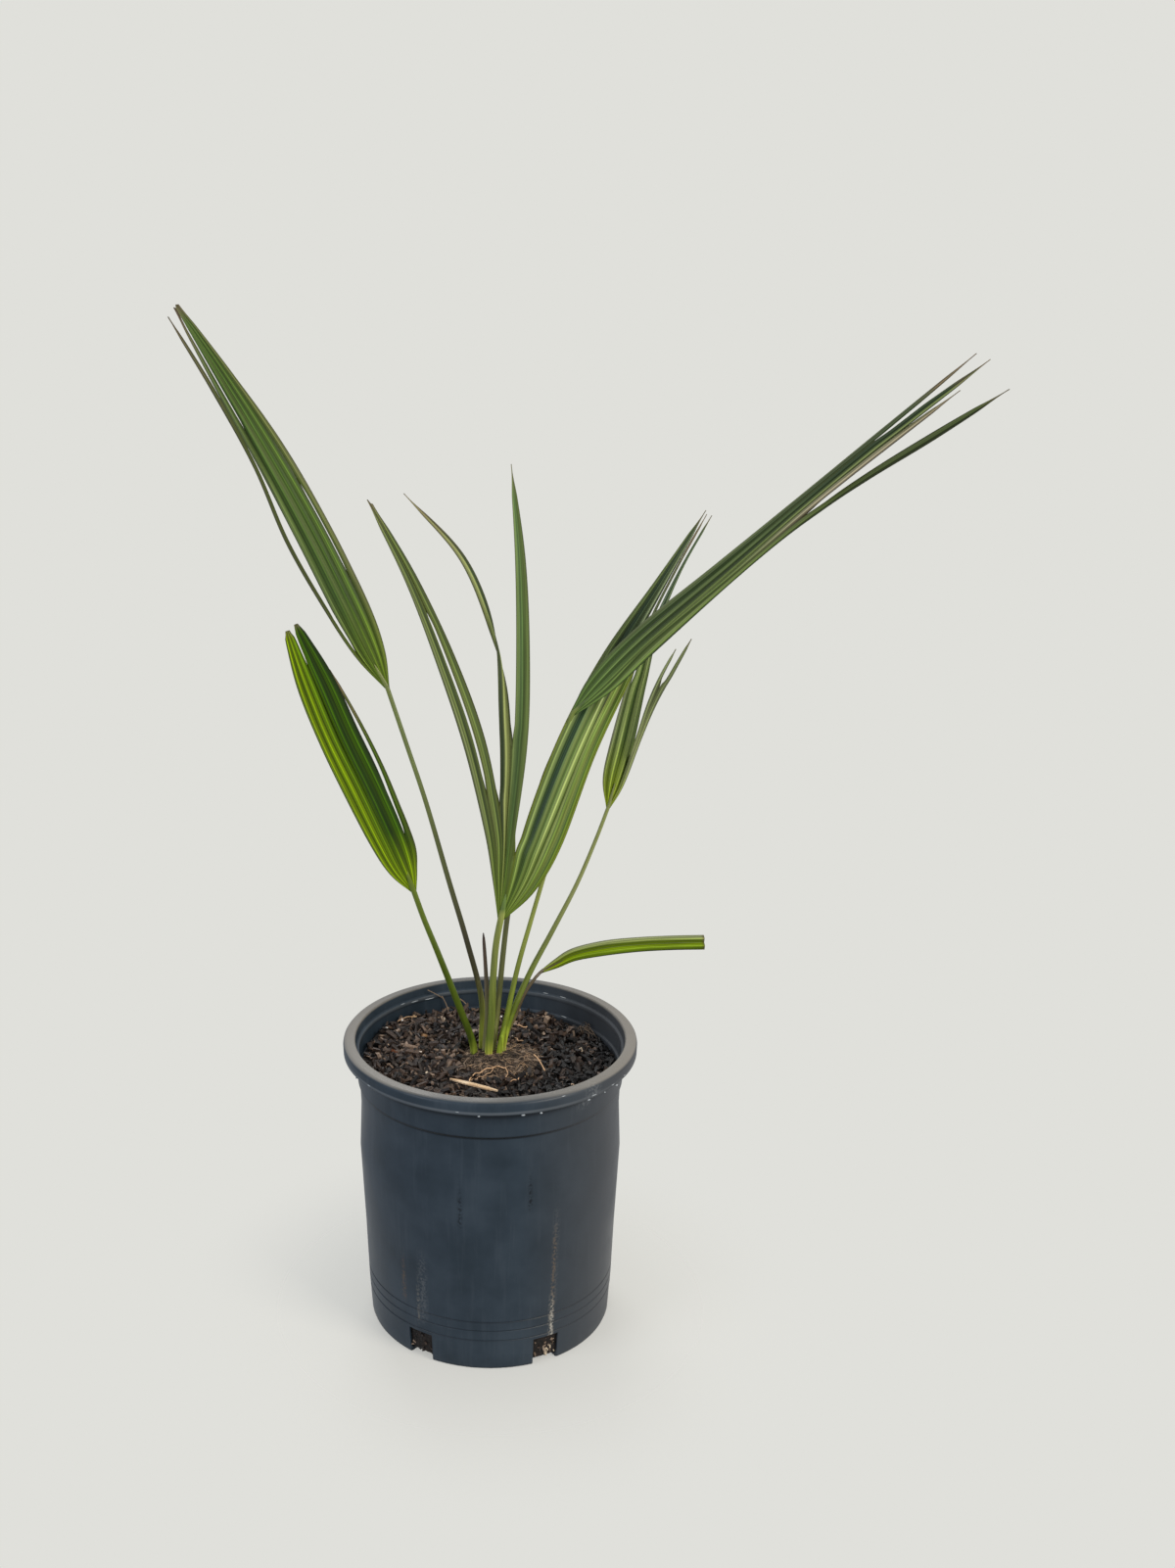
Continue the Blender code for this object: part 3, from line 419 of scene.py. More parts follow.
def add(tree, kind, inputs=None, stops=None, **settings):
    """Add a node with its settings and inputs, and a colour ramp's stops of (place, shade, alpha)."""
    node = tree.nodes.new("ShaderNode" + kind)
    for name, value in settings.items():
        setattr(node, name, value)
    connect(tree, node, inputs or {})
    for k, (place, *shade) in enumerate(stops or []):
        ramp = node.color_ramp.elements
        if k == 0:
            ramp.remove(ramp[1])
            ramp[0].position = place
        else:
            ramp.new(place)
        ramp[k].color = colour(*shade)
    return node


def new_material(name):
    """A material, its node tree and its Principled shader."""
    made = bpy.data.materials.new(name)
    made.use_nodes = True
    return made, made.node_tree, made.node_tree.nodes["Principled BSDF"]


def smooth_step(value):
    value = min(1.0, max(0.0, value))
    return value * value * (3.0 - 2.0 * value)


def route(points, count, before=None):
    """`count` + 1 places at even distances along a smooth curve through `points`."""
    knots = [Vector(p) for p in points]
    first = Vector(before) if before else knots[0] * 2.0 - knots[1]
    knots = [first] + knots + [knots[-1] * 2.0 - knots[-2]]
    fine = []
    for a, b, c, d in zip(knots, knots[1:], knots[2:], knots[3:]):
        for i in range(SPAN_STEPS):
            t = i / SPAN_STEPS
            fine.append(0.5 * (2.0 * b + (c - a) * t + (2.0 * a - 5.0 * b + 4.0 * c - d) * t * t
                               + (3.0 * b - a - 3.0 * c + d) * t * t * t))
    fine.append(knots[-2])
    walked = [0.0]
    for a, b in zip(fine, fine[1:]):
        walked.append(walked[-1] + (b - a).length)
    places = []
    at = 0
    for i in range(count + 1):
        goal = walked[-1] * i / count
        while at < len(fine) - 2 and walked[at + 1] < goal:
            at += 1
        share = (goal - walked[at]) / (walked[at + 1] - walked[at])
        places.append(fine[at].lerp(fine[at + 1], share))
    return places


def length_of(points):
    return sum((Vector(b) - Vector(a)).length for a, b in zip(points, points[1:]))


def new_bmesh(*layers):
    """An empty bmesh with a number stored at each vertex under each of these names."""
    bm = bmesh.new()
    return bm, [bm.verts.layers.float.new(layer) for layer in layers]


def bent_grid(bm, columns, rows, place):
    """A grid of faces whose corner in each column and row goes where `place(vert, column, row)` puts it."""
    for vert in bmesh.ops.create_grid(bm, x_segments=columns, y_segments=rows, size=0.5)["verts"]:
        place(vert, round((vert.co.x + 0.5) * columns), round((vert.co.y + 0.5) * rows))


def tube(bm, line, radii, sides, mark):
    """A round tube along a line, closed to a point at both ends. `mark(vert, share)` stores its numbers."""
    line = [line[0]] + list(line) + [line[-1]]
    radii = [0.0] + list(radii) + [0.0]
    last = len(line) - 1
    side = Vector((1.0, 0.0, 0.0))
    rings = []
    for k in range(len(line)):
        ahead = (line[min(last, k + 1)] - line[max(0, k - 1)]).normalized()
        if abs(side.dot(ahead)) > 0.9:
            side = ahead.orthogonal()
        side = (side - ahead * side.dot(ahead)).normalized()
        rings.append((side.copy(), ahead.cross(side)))

    def place(vert, column, row):
        angle = math.tau * column / sides
        u, w = rings[row]
        vert.co = line[row] + (u * math.cos(angle) + w * math.sin(angle)) * radii[row]
        mark(vert, max(0, min(last - 2, row - 1)) / (last - 2))

    bent_grid(bm, sides, last, place)


def finished(name, bm, paint, replaced=(), smooth_deg=40.0):
    """Turn a bmesh in millimetres into a piece that rides on the root body and stands for CAD nodes."""
    bm.transform(Matrix.Scale(MM, 4))
    mesh = bpy.data.meshes.new(name)
    bm.to_mesh(mesh)
    bm.free()
    mesh.materials.append(paint)
    mesh.shade_smooth()
    mesh.set_sharp_from_angle(angle=math.radians(smooth_deg))
    made = bpy.data.objects.new(name, mesh)
    bpy.context.scene.collection.objects.link(made)
    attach(made, "root")
    if replaced:
        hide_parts(*replaced)
    return made


def leaf_material(frond):
    """Living palm leaf: a waxy, satin skin with lighter ribs, darker furrows and fine veins along it."""
    made, tree, shader = new_material("Palm leaf " + frond.name.replace("_", " "))
    pleats = sum(segment.pleats for segment in frond.segments)
    across, along, dry, edge = (add(tree, "Attribute", attribute_name=name).outputs["Fac"]
                                for name in LEAF_NUMBERS)
    stripes = add(tree, "ValToRGB", {"Fac": across}, stops=frond.stripes)
    if frond.outer:
        outer = add(tree, "ValToRGB", {"Fac": across}, stops=frond.outer)
        out_part = add(tree, "MapRange", {"Value": along, "From Min": OUTER_FROM, "From Max": OUTER_TO},
                       interpolation_type="SMOOTHSTEP")
        stripes = add(tree, "MixRGB", {"Fac": out_part, "Color1": stripes, "Color2": outer})
    pleat = add(tree, "Math", {0: across, 1: pleats}, operation="MULTIPLY")
    fold = add(tree, "Math", {0: pleat}, operation="FRACT")
    # From furrow to furrow: a sunlit flank painted lighter, the light rib on the ridge and a shaded flank
    # painted darker, each flank with one lesser vein.
    ribs_and_flank_shade = add(tree, "ValToRGB", {"Fac": fold},
               stops=[(0.0, 0.20), (0.07, 0.40), (0.16, 0.45), (0.25, 0.60), (0.33, 0.46), (0.41, 0.52),
                      (0.48, 0.95), (0.53, 0.88), (0.60, 0.42), (0.70, 0.36), (0.77, 0.48), (0.85, 0.34),
                      (0.94, 0.30), (1.0, 0.18)])
    # Long streaks run most of the length of the leaf.
    wide = add(tree, "Math", {0: pleat, 1: STREAKS_A_PLEAT}, operation="MULTIPLY")
    far = add(tree, "Math", {0: along, 1: 1.6}, operation="MULTIPLY")
    flow = add(tree, "CombineXYZ", {"X": wide, "Y": far})
    streaks = add(tree, "TexNoise", {"Vector": flow, "Scale": 1.0, "Detail": 4.0, "Roughness": 0.65})
    shade = add(tree, "MapRange", {**NOISE_RANGE, "Value": streaks, "To Min": 0.58, "To Max": 1.48})
    # Real veins are about 0.3 mm apart. They are drawn at about 0.8 mm, as fine as the render can show.
    turns = add(tree, "Math", {0: pleat, 1: math.tau * VEINS_A_PLEAT}, operation="MULTIPLY")
    veins = add(tree, "Math", {0: turns}, operation="SINE")
    fine = add(tree, "MapRange", {"Value": veins, "From Min": -1.0, "To Min": 1.85, "To Max": 2.15})
    # Weaker relief draws the ribs and their painted flank shade in towards their mean tone.
    flat = MEAN_RIB * (1.0 - frond.relief)
    eased = add(tree, "MapRange", {"Value": ribs_and_flank_shade, "To Min": flat, "To Max": flat + frond.relief})
    lit = add(tree, "Math", {0: eased, 1: shade}, operation="MULTIPLY")
    both = add(tree, "Math", {0: lit, 1: fine}, operation="MULTIPLY")
    value = add(tree, "Math", {0: both, 1: 1.4}, operation="POWER")
    # The leaf starts out paler where its pleats leave the stalk, and its edge is darker.
    foot = add(tree, "ValToRGB", {"Fac": along},
               stops=[(0.0, frond.base, 0.85), (0.06, frond.base, 0.65), (0.24, frond.base, 0.0)])
    tinted = add(tree, "MixRGB", {"Fac": foot.outputs["Alpha"], "Color1": stripes, "Color2": foot})
    browned = add(tree, "MixRGB", {"Fac": dry, "Color1": tinted, "Color2": colour("#7a6a54")})
    skin = add(tree, "HueSaturation", {"Color": browned, "Value": value, "Saturation": 1.1})
    edge_part = add(tree, "Math", {0: edge, 1: 0.4}, operation="MULTIPLY")
    edged = add(tree, "MixRGB", {"Fac": edge_part, "Color1": skin, "Color2": colour("#3a3420")})
    gloss = add(tree, "MapRange", {**NOISE_RANGE, "Value": streaks, "To Min": 0.34, "To Max": 0.52})
    bump = add(tree, "Bump", {"Height": veins, "Strength": 0.35, "Distance": 0.06 * MM})
    connect(tree, shader, {"Base Color": edged, "Roughness": gloss, "Specular IOR Level": 0.22,
                           "Normal": bump})
    return made


def stalk_material(name, stalk):
    """Palm leaf stalk: smooth and satin, with fine lengthwise fibres that show as soft streaks."""
    made, tree, shader = new_material("Palm stalk " + name.replace("_", " "))
    around, along = (add(tree, "Attribute", attribute_name=number).outputs["Fac"]
                     for number in STALK_NUMBERS)
    tones = add(tree, "ValToRGB", {"Fac": along}, stops=stalk)
    wide = add(tree, "Math", {0: around, 1: 5.0}, operation="MULTIPLY")
    far = add(tree, "Math", {0: along, 1: 4.0}, operation="MULTIPLY")
    flow = add(tree, "CombineXYZ", {"X": wide, "Y": far})
    streaks = add(tree, "TexNoise", {"Vector": flow, "Scale": 1.0, "Detail": 3.0})
    grooves = add(tree, "MapRange", {**NOISE_RANGE, "Value": streaks, "To Min": 0.7, "To Max": 1.25})
    # Round the stalk: a pale sharp margin at its left and at its right, partly its own pale edge and partly a
    # painted highlight, with a darker channel between them.
    round_part = add(tree, "MapRange", {"Value": around, "From Min": -math.pi, "From Max": math.pi})
    margins_and_highlights = add(tree, "ValToRGB", {"Fac": round_part},
                  stops=[(0.0, 0.5), (0.05, 0.85), (0.1, 0.6), (0.17, 0.38), (0.25, 0.5), (0.32, 0.4),
                         (0.4, 0.44), (0.45, 0.8), (0.5, 0.85), (0.55, 0.5), (1.0, 0.5)])
    shaded = add(tree, "Math", {0: margins_and_highlights, 1: 2.2}, operation="MULTIPLY")
    value = add(tree, "Math", {0: grooves, 1: shaded}, operation="MULTIPLY")
    skin = add(tree, "HueSaturation", {"Color": tones, "Value": value})
    bump = add(tree, "Bump", {"Height": streaks, "Strength": 0.3, "Distance": 0.2 * MM})
    connect(tree, shader, {"Base Color": skin, "Roughness": 0.36, "Normal": bump})
    return made


def tip_width(share, end_width):
    """How much of its width a strip keeps near its tip: it ends pointed, rounded or cut off square."""
    if end_width >= CUT_ABOVE:
        return 1.0
    start, loss = POINTED_TIP if end_width < POINTED_BELOW else BLUNT_TIP
    return 1.0 - loss * smooth_step((share - start) / (1.0 - start))


def strip_edges(frond, segment, start, base, marks):
    """A strip's rows as shares of its length, and its left edge, right edge and normal at each row."""
    fine = route([(*start, base)] + segment.places, FINE_STEPS)
    reach = length_of(fine)
    rows = [mark / reach for mark in marks if mark < reach - ROW_PITCH / 3] + [1.0]
    lefts, rights, normals = [], [], []
    for share in rows:
        at = share * FINE_STEPS
        low = min(FINE_STEPS - 1, int(at))
        place = fine[low].lerp(fine[low + 1], at - low)
        centre = place.to_3d()
        ahead = (fine[min(FINE_STEPS, low + 3)] - fine[max(0, low - 2)]).to_3d().normalized()
        across = ahead.cross(Vector(frond.facing)).normalized()
        start_turn, end_turn, degrees = segment.twist
        turn = math.radians(degrees) * smooth_step((share - start_turn) / (end_turn - start_turn))
        across = Matrix.Rotation(turn, 3, ahead) @ across
        normal = across.cross(ahead)
        centre += normal * segment.lift * smooth_step((share - segment.joined) / PARTING)
        wide = place.w * tip_width(share, segment.places[-1][3])
        half = across * max(wide, TIP_WIDTH) / 2
        lefts.append(centre - half)
        rights.append(centre + half)
        normals.append(normal)
    return reach, rows, lefts, rights, normals


def part_strips(segment, reach, rows, lefts, rights, before):
    """Give a strip and the one on its left one shared edge while they are joined, and then a slit."""
    edges, corners = before
    joined = max(segment.joined, ALWAYS_JOINED / reach)
    for k, share in enumerate(rows[:len(edges)]):
        across = (rights[k] - lefts[k]).normalized()
        gap = lefts[k] - edges[k]
        shared = (lefts[k] + edges[k]) / 2
        parted = smooth_step((share - joined) / PARTING_BLEND)
        parted *= 1.0 - smooth_step((share - segment.closes) / PARTING_BLEND)
        near = 1.0 - smooth_step((gap.length - 2 * SLIT) / (2 * SLIT))
        push = across * max(0.0, segment.slit - gap.dot(across)) * near / 2
        lefts[k] = shared.lerp(lefts[k] + push, parted)
        for vert in corners[k]:
            vert.co = shared.lerp(edges[k] - push, parted)


def lean_sheet(bm, frond, top):
    """Turn a flat blade about the line to its tip: its right side goes back, and so do both edges."""
    tips = [Vector(segment.places[-1][:3]) for segment in frond.segments]
    chord = max(tips, key=lambda tip: (tip - top).length) - top
    chord.y = 0.0
    chord.normalize()
    side, keel = (math.tan(math.radians(angle)) for angle in frond.lean)
    for vert in bm.verts:
        out = (vert.co.x - top.x) * chord.z - (vert.co.z - top.z) * chord.x
        vert.co += BACK * (side * out + keel * (math.hypot(out, RIDGE_R) - RIDGE_R))


def pleat_profile(share):
    """How high the pleated sheet stands at a share of one pleat: a fold with a slightly rounded ridge."""
    sharp = 1.0 - abs(2.0 * share - 1.0)
    rounded = 0.5 - 0.5 * math.cos(math.tau * share)
    return FOLD_SHARP * sharp + (1.0 - FOLD_SHARP) * rounded


def blade(frond):
    """All the strips of a blade as one finely pleated sheet, split where the strips part."""
    bm, (across_layer, along_layer, dry_layer, edge_layer) = new_bmesh(*LEAF_NUMBERS)
    top = Vector(frond.stem[-1])
    down = (top - Vector(frond.stem[-2])).normalized()
    sideways = down.cross(Vector(frond.facing)).normalized()
    pleats = sum(segment.pleats for segment in frond.segments)
    base_width = BASE_SPREAD * frond.top_r
    # Rows for a tenth more than the longest strip, because a curve is longer than its chords.
    longest = max(length_of([top] + [p[:3] for p in segment.places]) for segment in frond.segments)
    marks = [ROW_PITCH * k for k in range(int(longest * 1.1 / ROW_PITCH) + 2)]
    before = None
    done = 0
    for segment in frond.segments:
        middle = (done + segment.pleats / 2) / pleats - 0.5
        start = top - down * BASE_SUNK + sideways * middle * base_width
        base = base_width * segment.pleats / pleats
        reach, rows, lefts, rights, normals = strip_edges(frond, segment, start, base, marks)
        if before:
            part_strips(segment, reach, rows, lefts, rights, before)
        columns = COLUMNS_A_PLEAT * segment.pleats
        right_verts = [[] for _ in rows]

        def place(vert, column, k):
            # A strip too narrow to fold, half a pleat of it, lies flat.
            wide = (rights[k] - lefts[k]).length / (2 * segment.pleats)
            folded = smooth_step((wide - FLAT_COLUMN * 0.5) / (FOLDED_COLUMN - FLAT_COLUMN * 0.5))
            rise = pleat_profile(column / COLUMNS_A_PLEAT % 1.0)
            lift = FOLD * 2 * wide * folded * rise
            vert.co = lefts[k].lerp(rights[k], column / columns) + normals[k] * lift
            vert[across_layer] = (done + column / COLUMNS_A_PLEAT) / pleats
            vert[along_layer] = rows[k]
            dry_start, dry_end = segment.dry
            patchy = DRY_RAGGED * noise.noise(vert.co / DRY_PATCH) * (dry_end - dry_start)
            vert[dry_layer] = smooth_step((rows[k] + patchy - dry_start) / (dry_end - dry_start))
            if column == columns:
                right_verts[k].append(vert)

        bent_grid(bm, columns, len(rows) - 1, place)
        done += segment.pleats
        before = (rights, right_verts)
    bmesh.ops.remove_doubles(bm, verts=bm.verts, dist=MERGE)
    lean_sheet(bm, frond, top)
    for vert in bm.verts:
        vert[edge_layer] = 1.0 if vert.is_boundary else 0.0
    made = finished(frond.name + "_blade", bm, leaf_material(frond), ["frond_" + frond.name],
                    smooth_deg=60.0)
    thick = made.modifiers.new("Thickness", "SOLIDIFY")
    thick.thickness = BLADE_THICK * MM
    thick.offset = 0.0
    thick.use_even_offset = False


def stalk(frond):
    """The stem as a tube that thins towards the blade, and runs on into it as a short midrib."""
    x, y = frond.foot
    points = [(x, y, COLLAR_Z)] + frond.stem
    count = max(8, round(length_of(points) / STALK_PITCH))
    below = (x, y, 2.0 * COLLAR_Z - frond.stem[0][2])
    line = [Vector((x, y, STEM_FOOT_Z)), Vector((x, y, STEM_FOOT_Z + STRAIGHT_FOOT))]
    line += route(points, count, below)
    spear = not frond.segments
    radii = []
    for k in range(len(line)):
        share = k / (len(line) - 1)
        radius = frond.foot_r + (frond.top_r - frond.foot_r) * smooth_step(share)
        if spear:
            # The unopened leaf thins over its last tenth or so, to 0.3 of its width.
            radius *= 1.0 - 0.7 * share ** 24
        radii.append(radius)
    if not spear:
        top = Vector(frond.stem[-1])
        ahead = Vector((0.0, 0.0, 0.0))
        for segment in frond.segments:
            ahead += Vector(segment.places[0][:3]) - top
        ahead.normalize()
        for share, thin in COSTA_THINS:
            line.append(top + ahead * COSTA * share)
            radii.append(frond.top_r * thin)
    bm, (across_layer, along_layer) = new_bmesh(*STALK_NUMBERS)

    def mark(vert, share):
        vert[along_layer] = share
        vert[across_layer] = math.atan2(vert.co.y - y, vert.co.x - x)

    tube(bm, line, radii, STALK_SIDES, mark)
    bmesh.ops.remove_doubles(bm, verts=bm.verts, dist=MERGE)
    paint = stalk_material(frond.name, frond.stalk)
    node = "spear_leaf" if spear else "frond_" + frond.name
    finished(frond.name + "_stalk", bm, paint, [node])


def wall_radius(z):
    """Outer radius of the pot's wall below the collar."""
    for (z0, r0), (z1, r1) in zip(WALL_MARKS, WALL_MARKS[1:]):
        if z <= z1:
            return r0 + (r1 - r0) * (z - z0) / (z1 - z0)
    return WALL_MARKS[-1][1]


def pot_profile():
    """Half section of the pot, from the top of the rim down the outside and up the inside."""
    lip_r = RIM_OUTER_R - 0.2
    lip_z = POT_HEIGHT - RIM_BAND
    under_z = POT_HEIGHT - 2.0
    outside = [
        (RIM_INNER_R + 0.6, POT_HEIGHT), (97.4, POT_HEIGHT - 0.3), (98.8, POT_HEIGHT - 0.9),
        (99.7, POT_HEIGHT - 2.0), (RIM_OUTER_R, POT_HEIGHT - 3.4), (lip_r, lip_z + 0.5),
        (lip_r - 0.5, lip_z), (lip_r - WALL, lip_z), (lip_r - WALL, under_z),
        (RIM_INNER_R + 1.6, under_z), (91.4, lip_z), (COLLAR_R, COLLAR_FOOT_Z),
        (wall_radius(COLLAR_FOOT_Z), COLLAR_FOOT_Z - 0.8),
    ]
    outside += [(wall_radius(z), z) for z in (168.0, WAIST_Z, 152.0, 144.0, 136.0, BELLY_Z, 118.0, 109.0,
                                              100.0, 84.0, 68.0, 50.0)]
    for ring_z in BASE_RINGS_Z:
        r = wall_radius(ring_z)
        outside += [(r, ring_z + RING_DEPTH), (r - RING_DEPTH, ring_z), (r, ring_z - RING_DEPTH)]
    outside += [(wall_radius(SLOT_TOP_Z), SLOT_TOP_Z), (wall_radius(10.0), 10.0), (FOOT_R, FOOT_ROUND),
                (FOOT_R - 0.6, 0.6), (FOOT_R - FOOT_ROUND, 0.0), (SLOT_INNER_R, 0.0), (0.0, 0.0)]
    inside = [
        (0.0, FLOOR), (SLOT_INNER_R, FLOOR), (FOOT_R - WALL - 2.0, FLOOR), (FOOT_R - WALL, FLOOR + 2.0),
        (wall_radius(SLOT_TOP_Z) - WALL, SLOT_TOP_Z), (wall_radius(68.0) - WALL, 68.0),
        (wall_radius(100.0) - WALL, 100.0), (BELLY_R - WALL, BELLY_Z), (WAIST_R - WALL, WAIST_Z),
        (87.6, COLLAR_FOOT_Z), (87.6, LOWER_LEDGE_Z), (COLLAR_R - WALL, LOWER_LEDGE_Z + 0.8),
        (COLLAR_R - WALL + 0.3, UPPER_LEDGE_Z), (RIM_INNER_R - 1.2, UPPER_LEDGE_Z + 1.0),
        (RIM_INNER_R, POT_HEIGHT - 0.6),
    ]
    return outside + inside + [outside[0]]


def turned(bm, profile, steps, start_deg=0.0):
    """Turn a half section of (radius, height) once round Z."""
    points = [bm.verts.new((r, 0.0, z)) for r, z in profile]
    edges = [bm.edges.new(pair) for pair in zip(points, points[1:])]
    bmesh.ops.rotate(bm, verts=points, matrix=Matrix.Rotation(math.radians(start_deg), 3, "Z"))
    bmesh.ops.spin(bm, geom=points + edges, axis=(0.0, 0.0, 1.0), angle=math.tau, steps=steps,
                   use_merge=True)
    bmesh.ops.remove_doubles(bm, verts=bm.verts, dist=MERGE)
    bmesh.ops.dissolve_degenerate(bm, edges=bm.edges, dist=MERGE)
    bmesh.ops.recalc_face_normals(bm, faces=bm.faces)


def cut_slots(bm, start_deg):
    """Open the drainage slots through the pot's bottom corner, and close their cut sides."""
    every = 360.0 / SLOT_COUNT

    def in_slot(face):
        middle = face.calc_center_median()
        turn = (math.degrees(math.atan2(middle.y, middle.x)) - start_deg) % every
        return turn < SLOT_DEG and middle.z < SLOT_TOP_Z and middle.xy.length > SLOT_INNER_R

    bmesh.ops.delete(bm, geom=[face for face in bm.faces if in_slot(face)], context="FACES")
    open_edges = [edge for edge in bm.edges if edge.is_boundary]
    for k in range(SLOT_COUNT):
        middle = math.radians(start_deg + SLOT_DEG / 2 + k * every)
        spoke = Vector((math.cos(middle), math.sin(middle)))
        # The edges of this slot lie within 0.3 radians of its middle.
        mine = [edge for edge in open_edges
                if (edge.verts[0].co.xy + edge.verts[1].co.xy).normalized().dot(spoke) > math.cos(0.3)]
        bmesh.ops.bridge_loops(bm, edges=mine)
    bmesh.ops.recalc_face_normals(bm, faces=bm.faces)


# Marks on the pot, each (degrees from the front, half its width in degrees, bottom, top, colour, how much
# of it shows): lime and rust where water ran, two dark marks, and a painted highlight on the rim and collar.
STREAKS = [
    (29.4, 2.4, 42.0, 128.0, "#6a6c6c", 0.5), (29.0, 1.4, 34.0, 112.0, "#7a654c", 0.75),
    (28.4, 1.9, 10.0, 60.0, "#b8b2a4", 0.9), (28.8, 1.0, 16.0, 56.0, "#dcd8cc", 1.0),
    (-42.0, 1.8, 38.0, 84.0, "#6f5844", 0.55), (-31.4, 3.2, 26.0, 92.0, "#62666a", 0.7),
    (-34.0, 1.2, 24.0, 70.0, "#7c7a72", 0.6), (-12.8, 1.5, 107.0, 146.0, "#0a0d12", 1.0),
    (17.0, 1.3, 119.0, 156.0, "#0a0d12", 1.0), (150.0, 2.4, 30.0, 100.0, "#7a6c58", 0.6),
    # The mark at 42 degrees is a painted highlight, where light catches the rim and the collar.
    (-120.0, 2.2, 25.0, 80.0, "#6f7274", 0.6), (42.0, 5.0, 184.0, 224.0, "#a0a6aa", 0.6),
]

# Bands round the pot, each (height, colour, how much of it shows): darker at the foot, painted shade in the
# base rings and under the collar's step, a painted shadow on the rim's lower edge, and a painted highlight
# line above that.
# Painted shade in the grooves of the base rings.
RING_BANDS = [(ring_z + away, PAINTED_SHADE, much) for ring_z in reversed(BASE_RINGS_Z)
              for away, much in ((-0.6, 0.0), (0.0, 0.8), (0.6, 0.0))]
BANDS = [
    (0.0, "#14191e", 0.6), (2.5, "#14191e", 0.0), *RING_BANDS,
    # Painted shade under the collar's step.
    (174.9, "#0a0d11", 0.0), (176.0, "#0a0d11", 0.95), (177.1, "#0a0d11", 0.9), (178.0, "#0a0d11", 0.0),
    # Painted shadow under the rim's lip.
    (197.0, PAINTED_SHADE, 0.0), (197.4, PAINTED_SHADE, 0.7), (198.0, PAINTED_SHADE, 0.5),
    # A painted highlight along the rim's lower edge.
    (198.4, "#8f959a", 0.1), (199.4, "#8f959a", 0.42), (200.4, "#8f959a", 0.0),
]


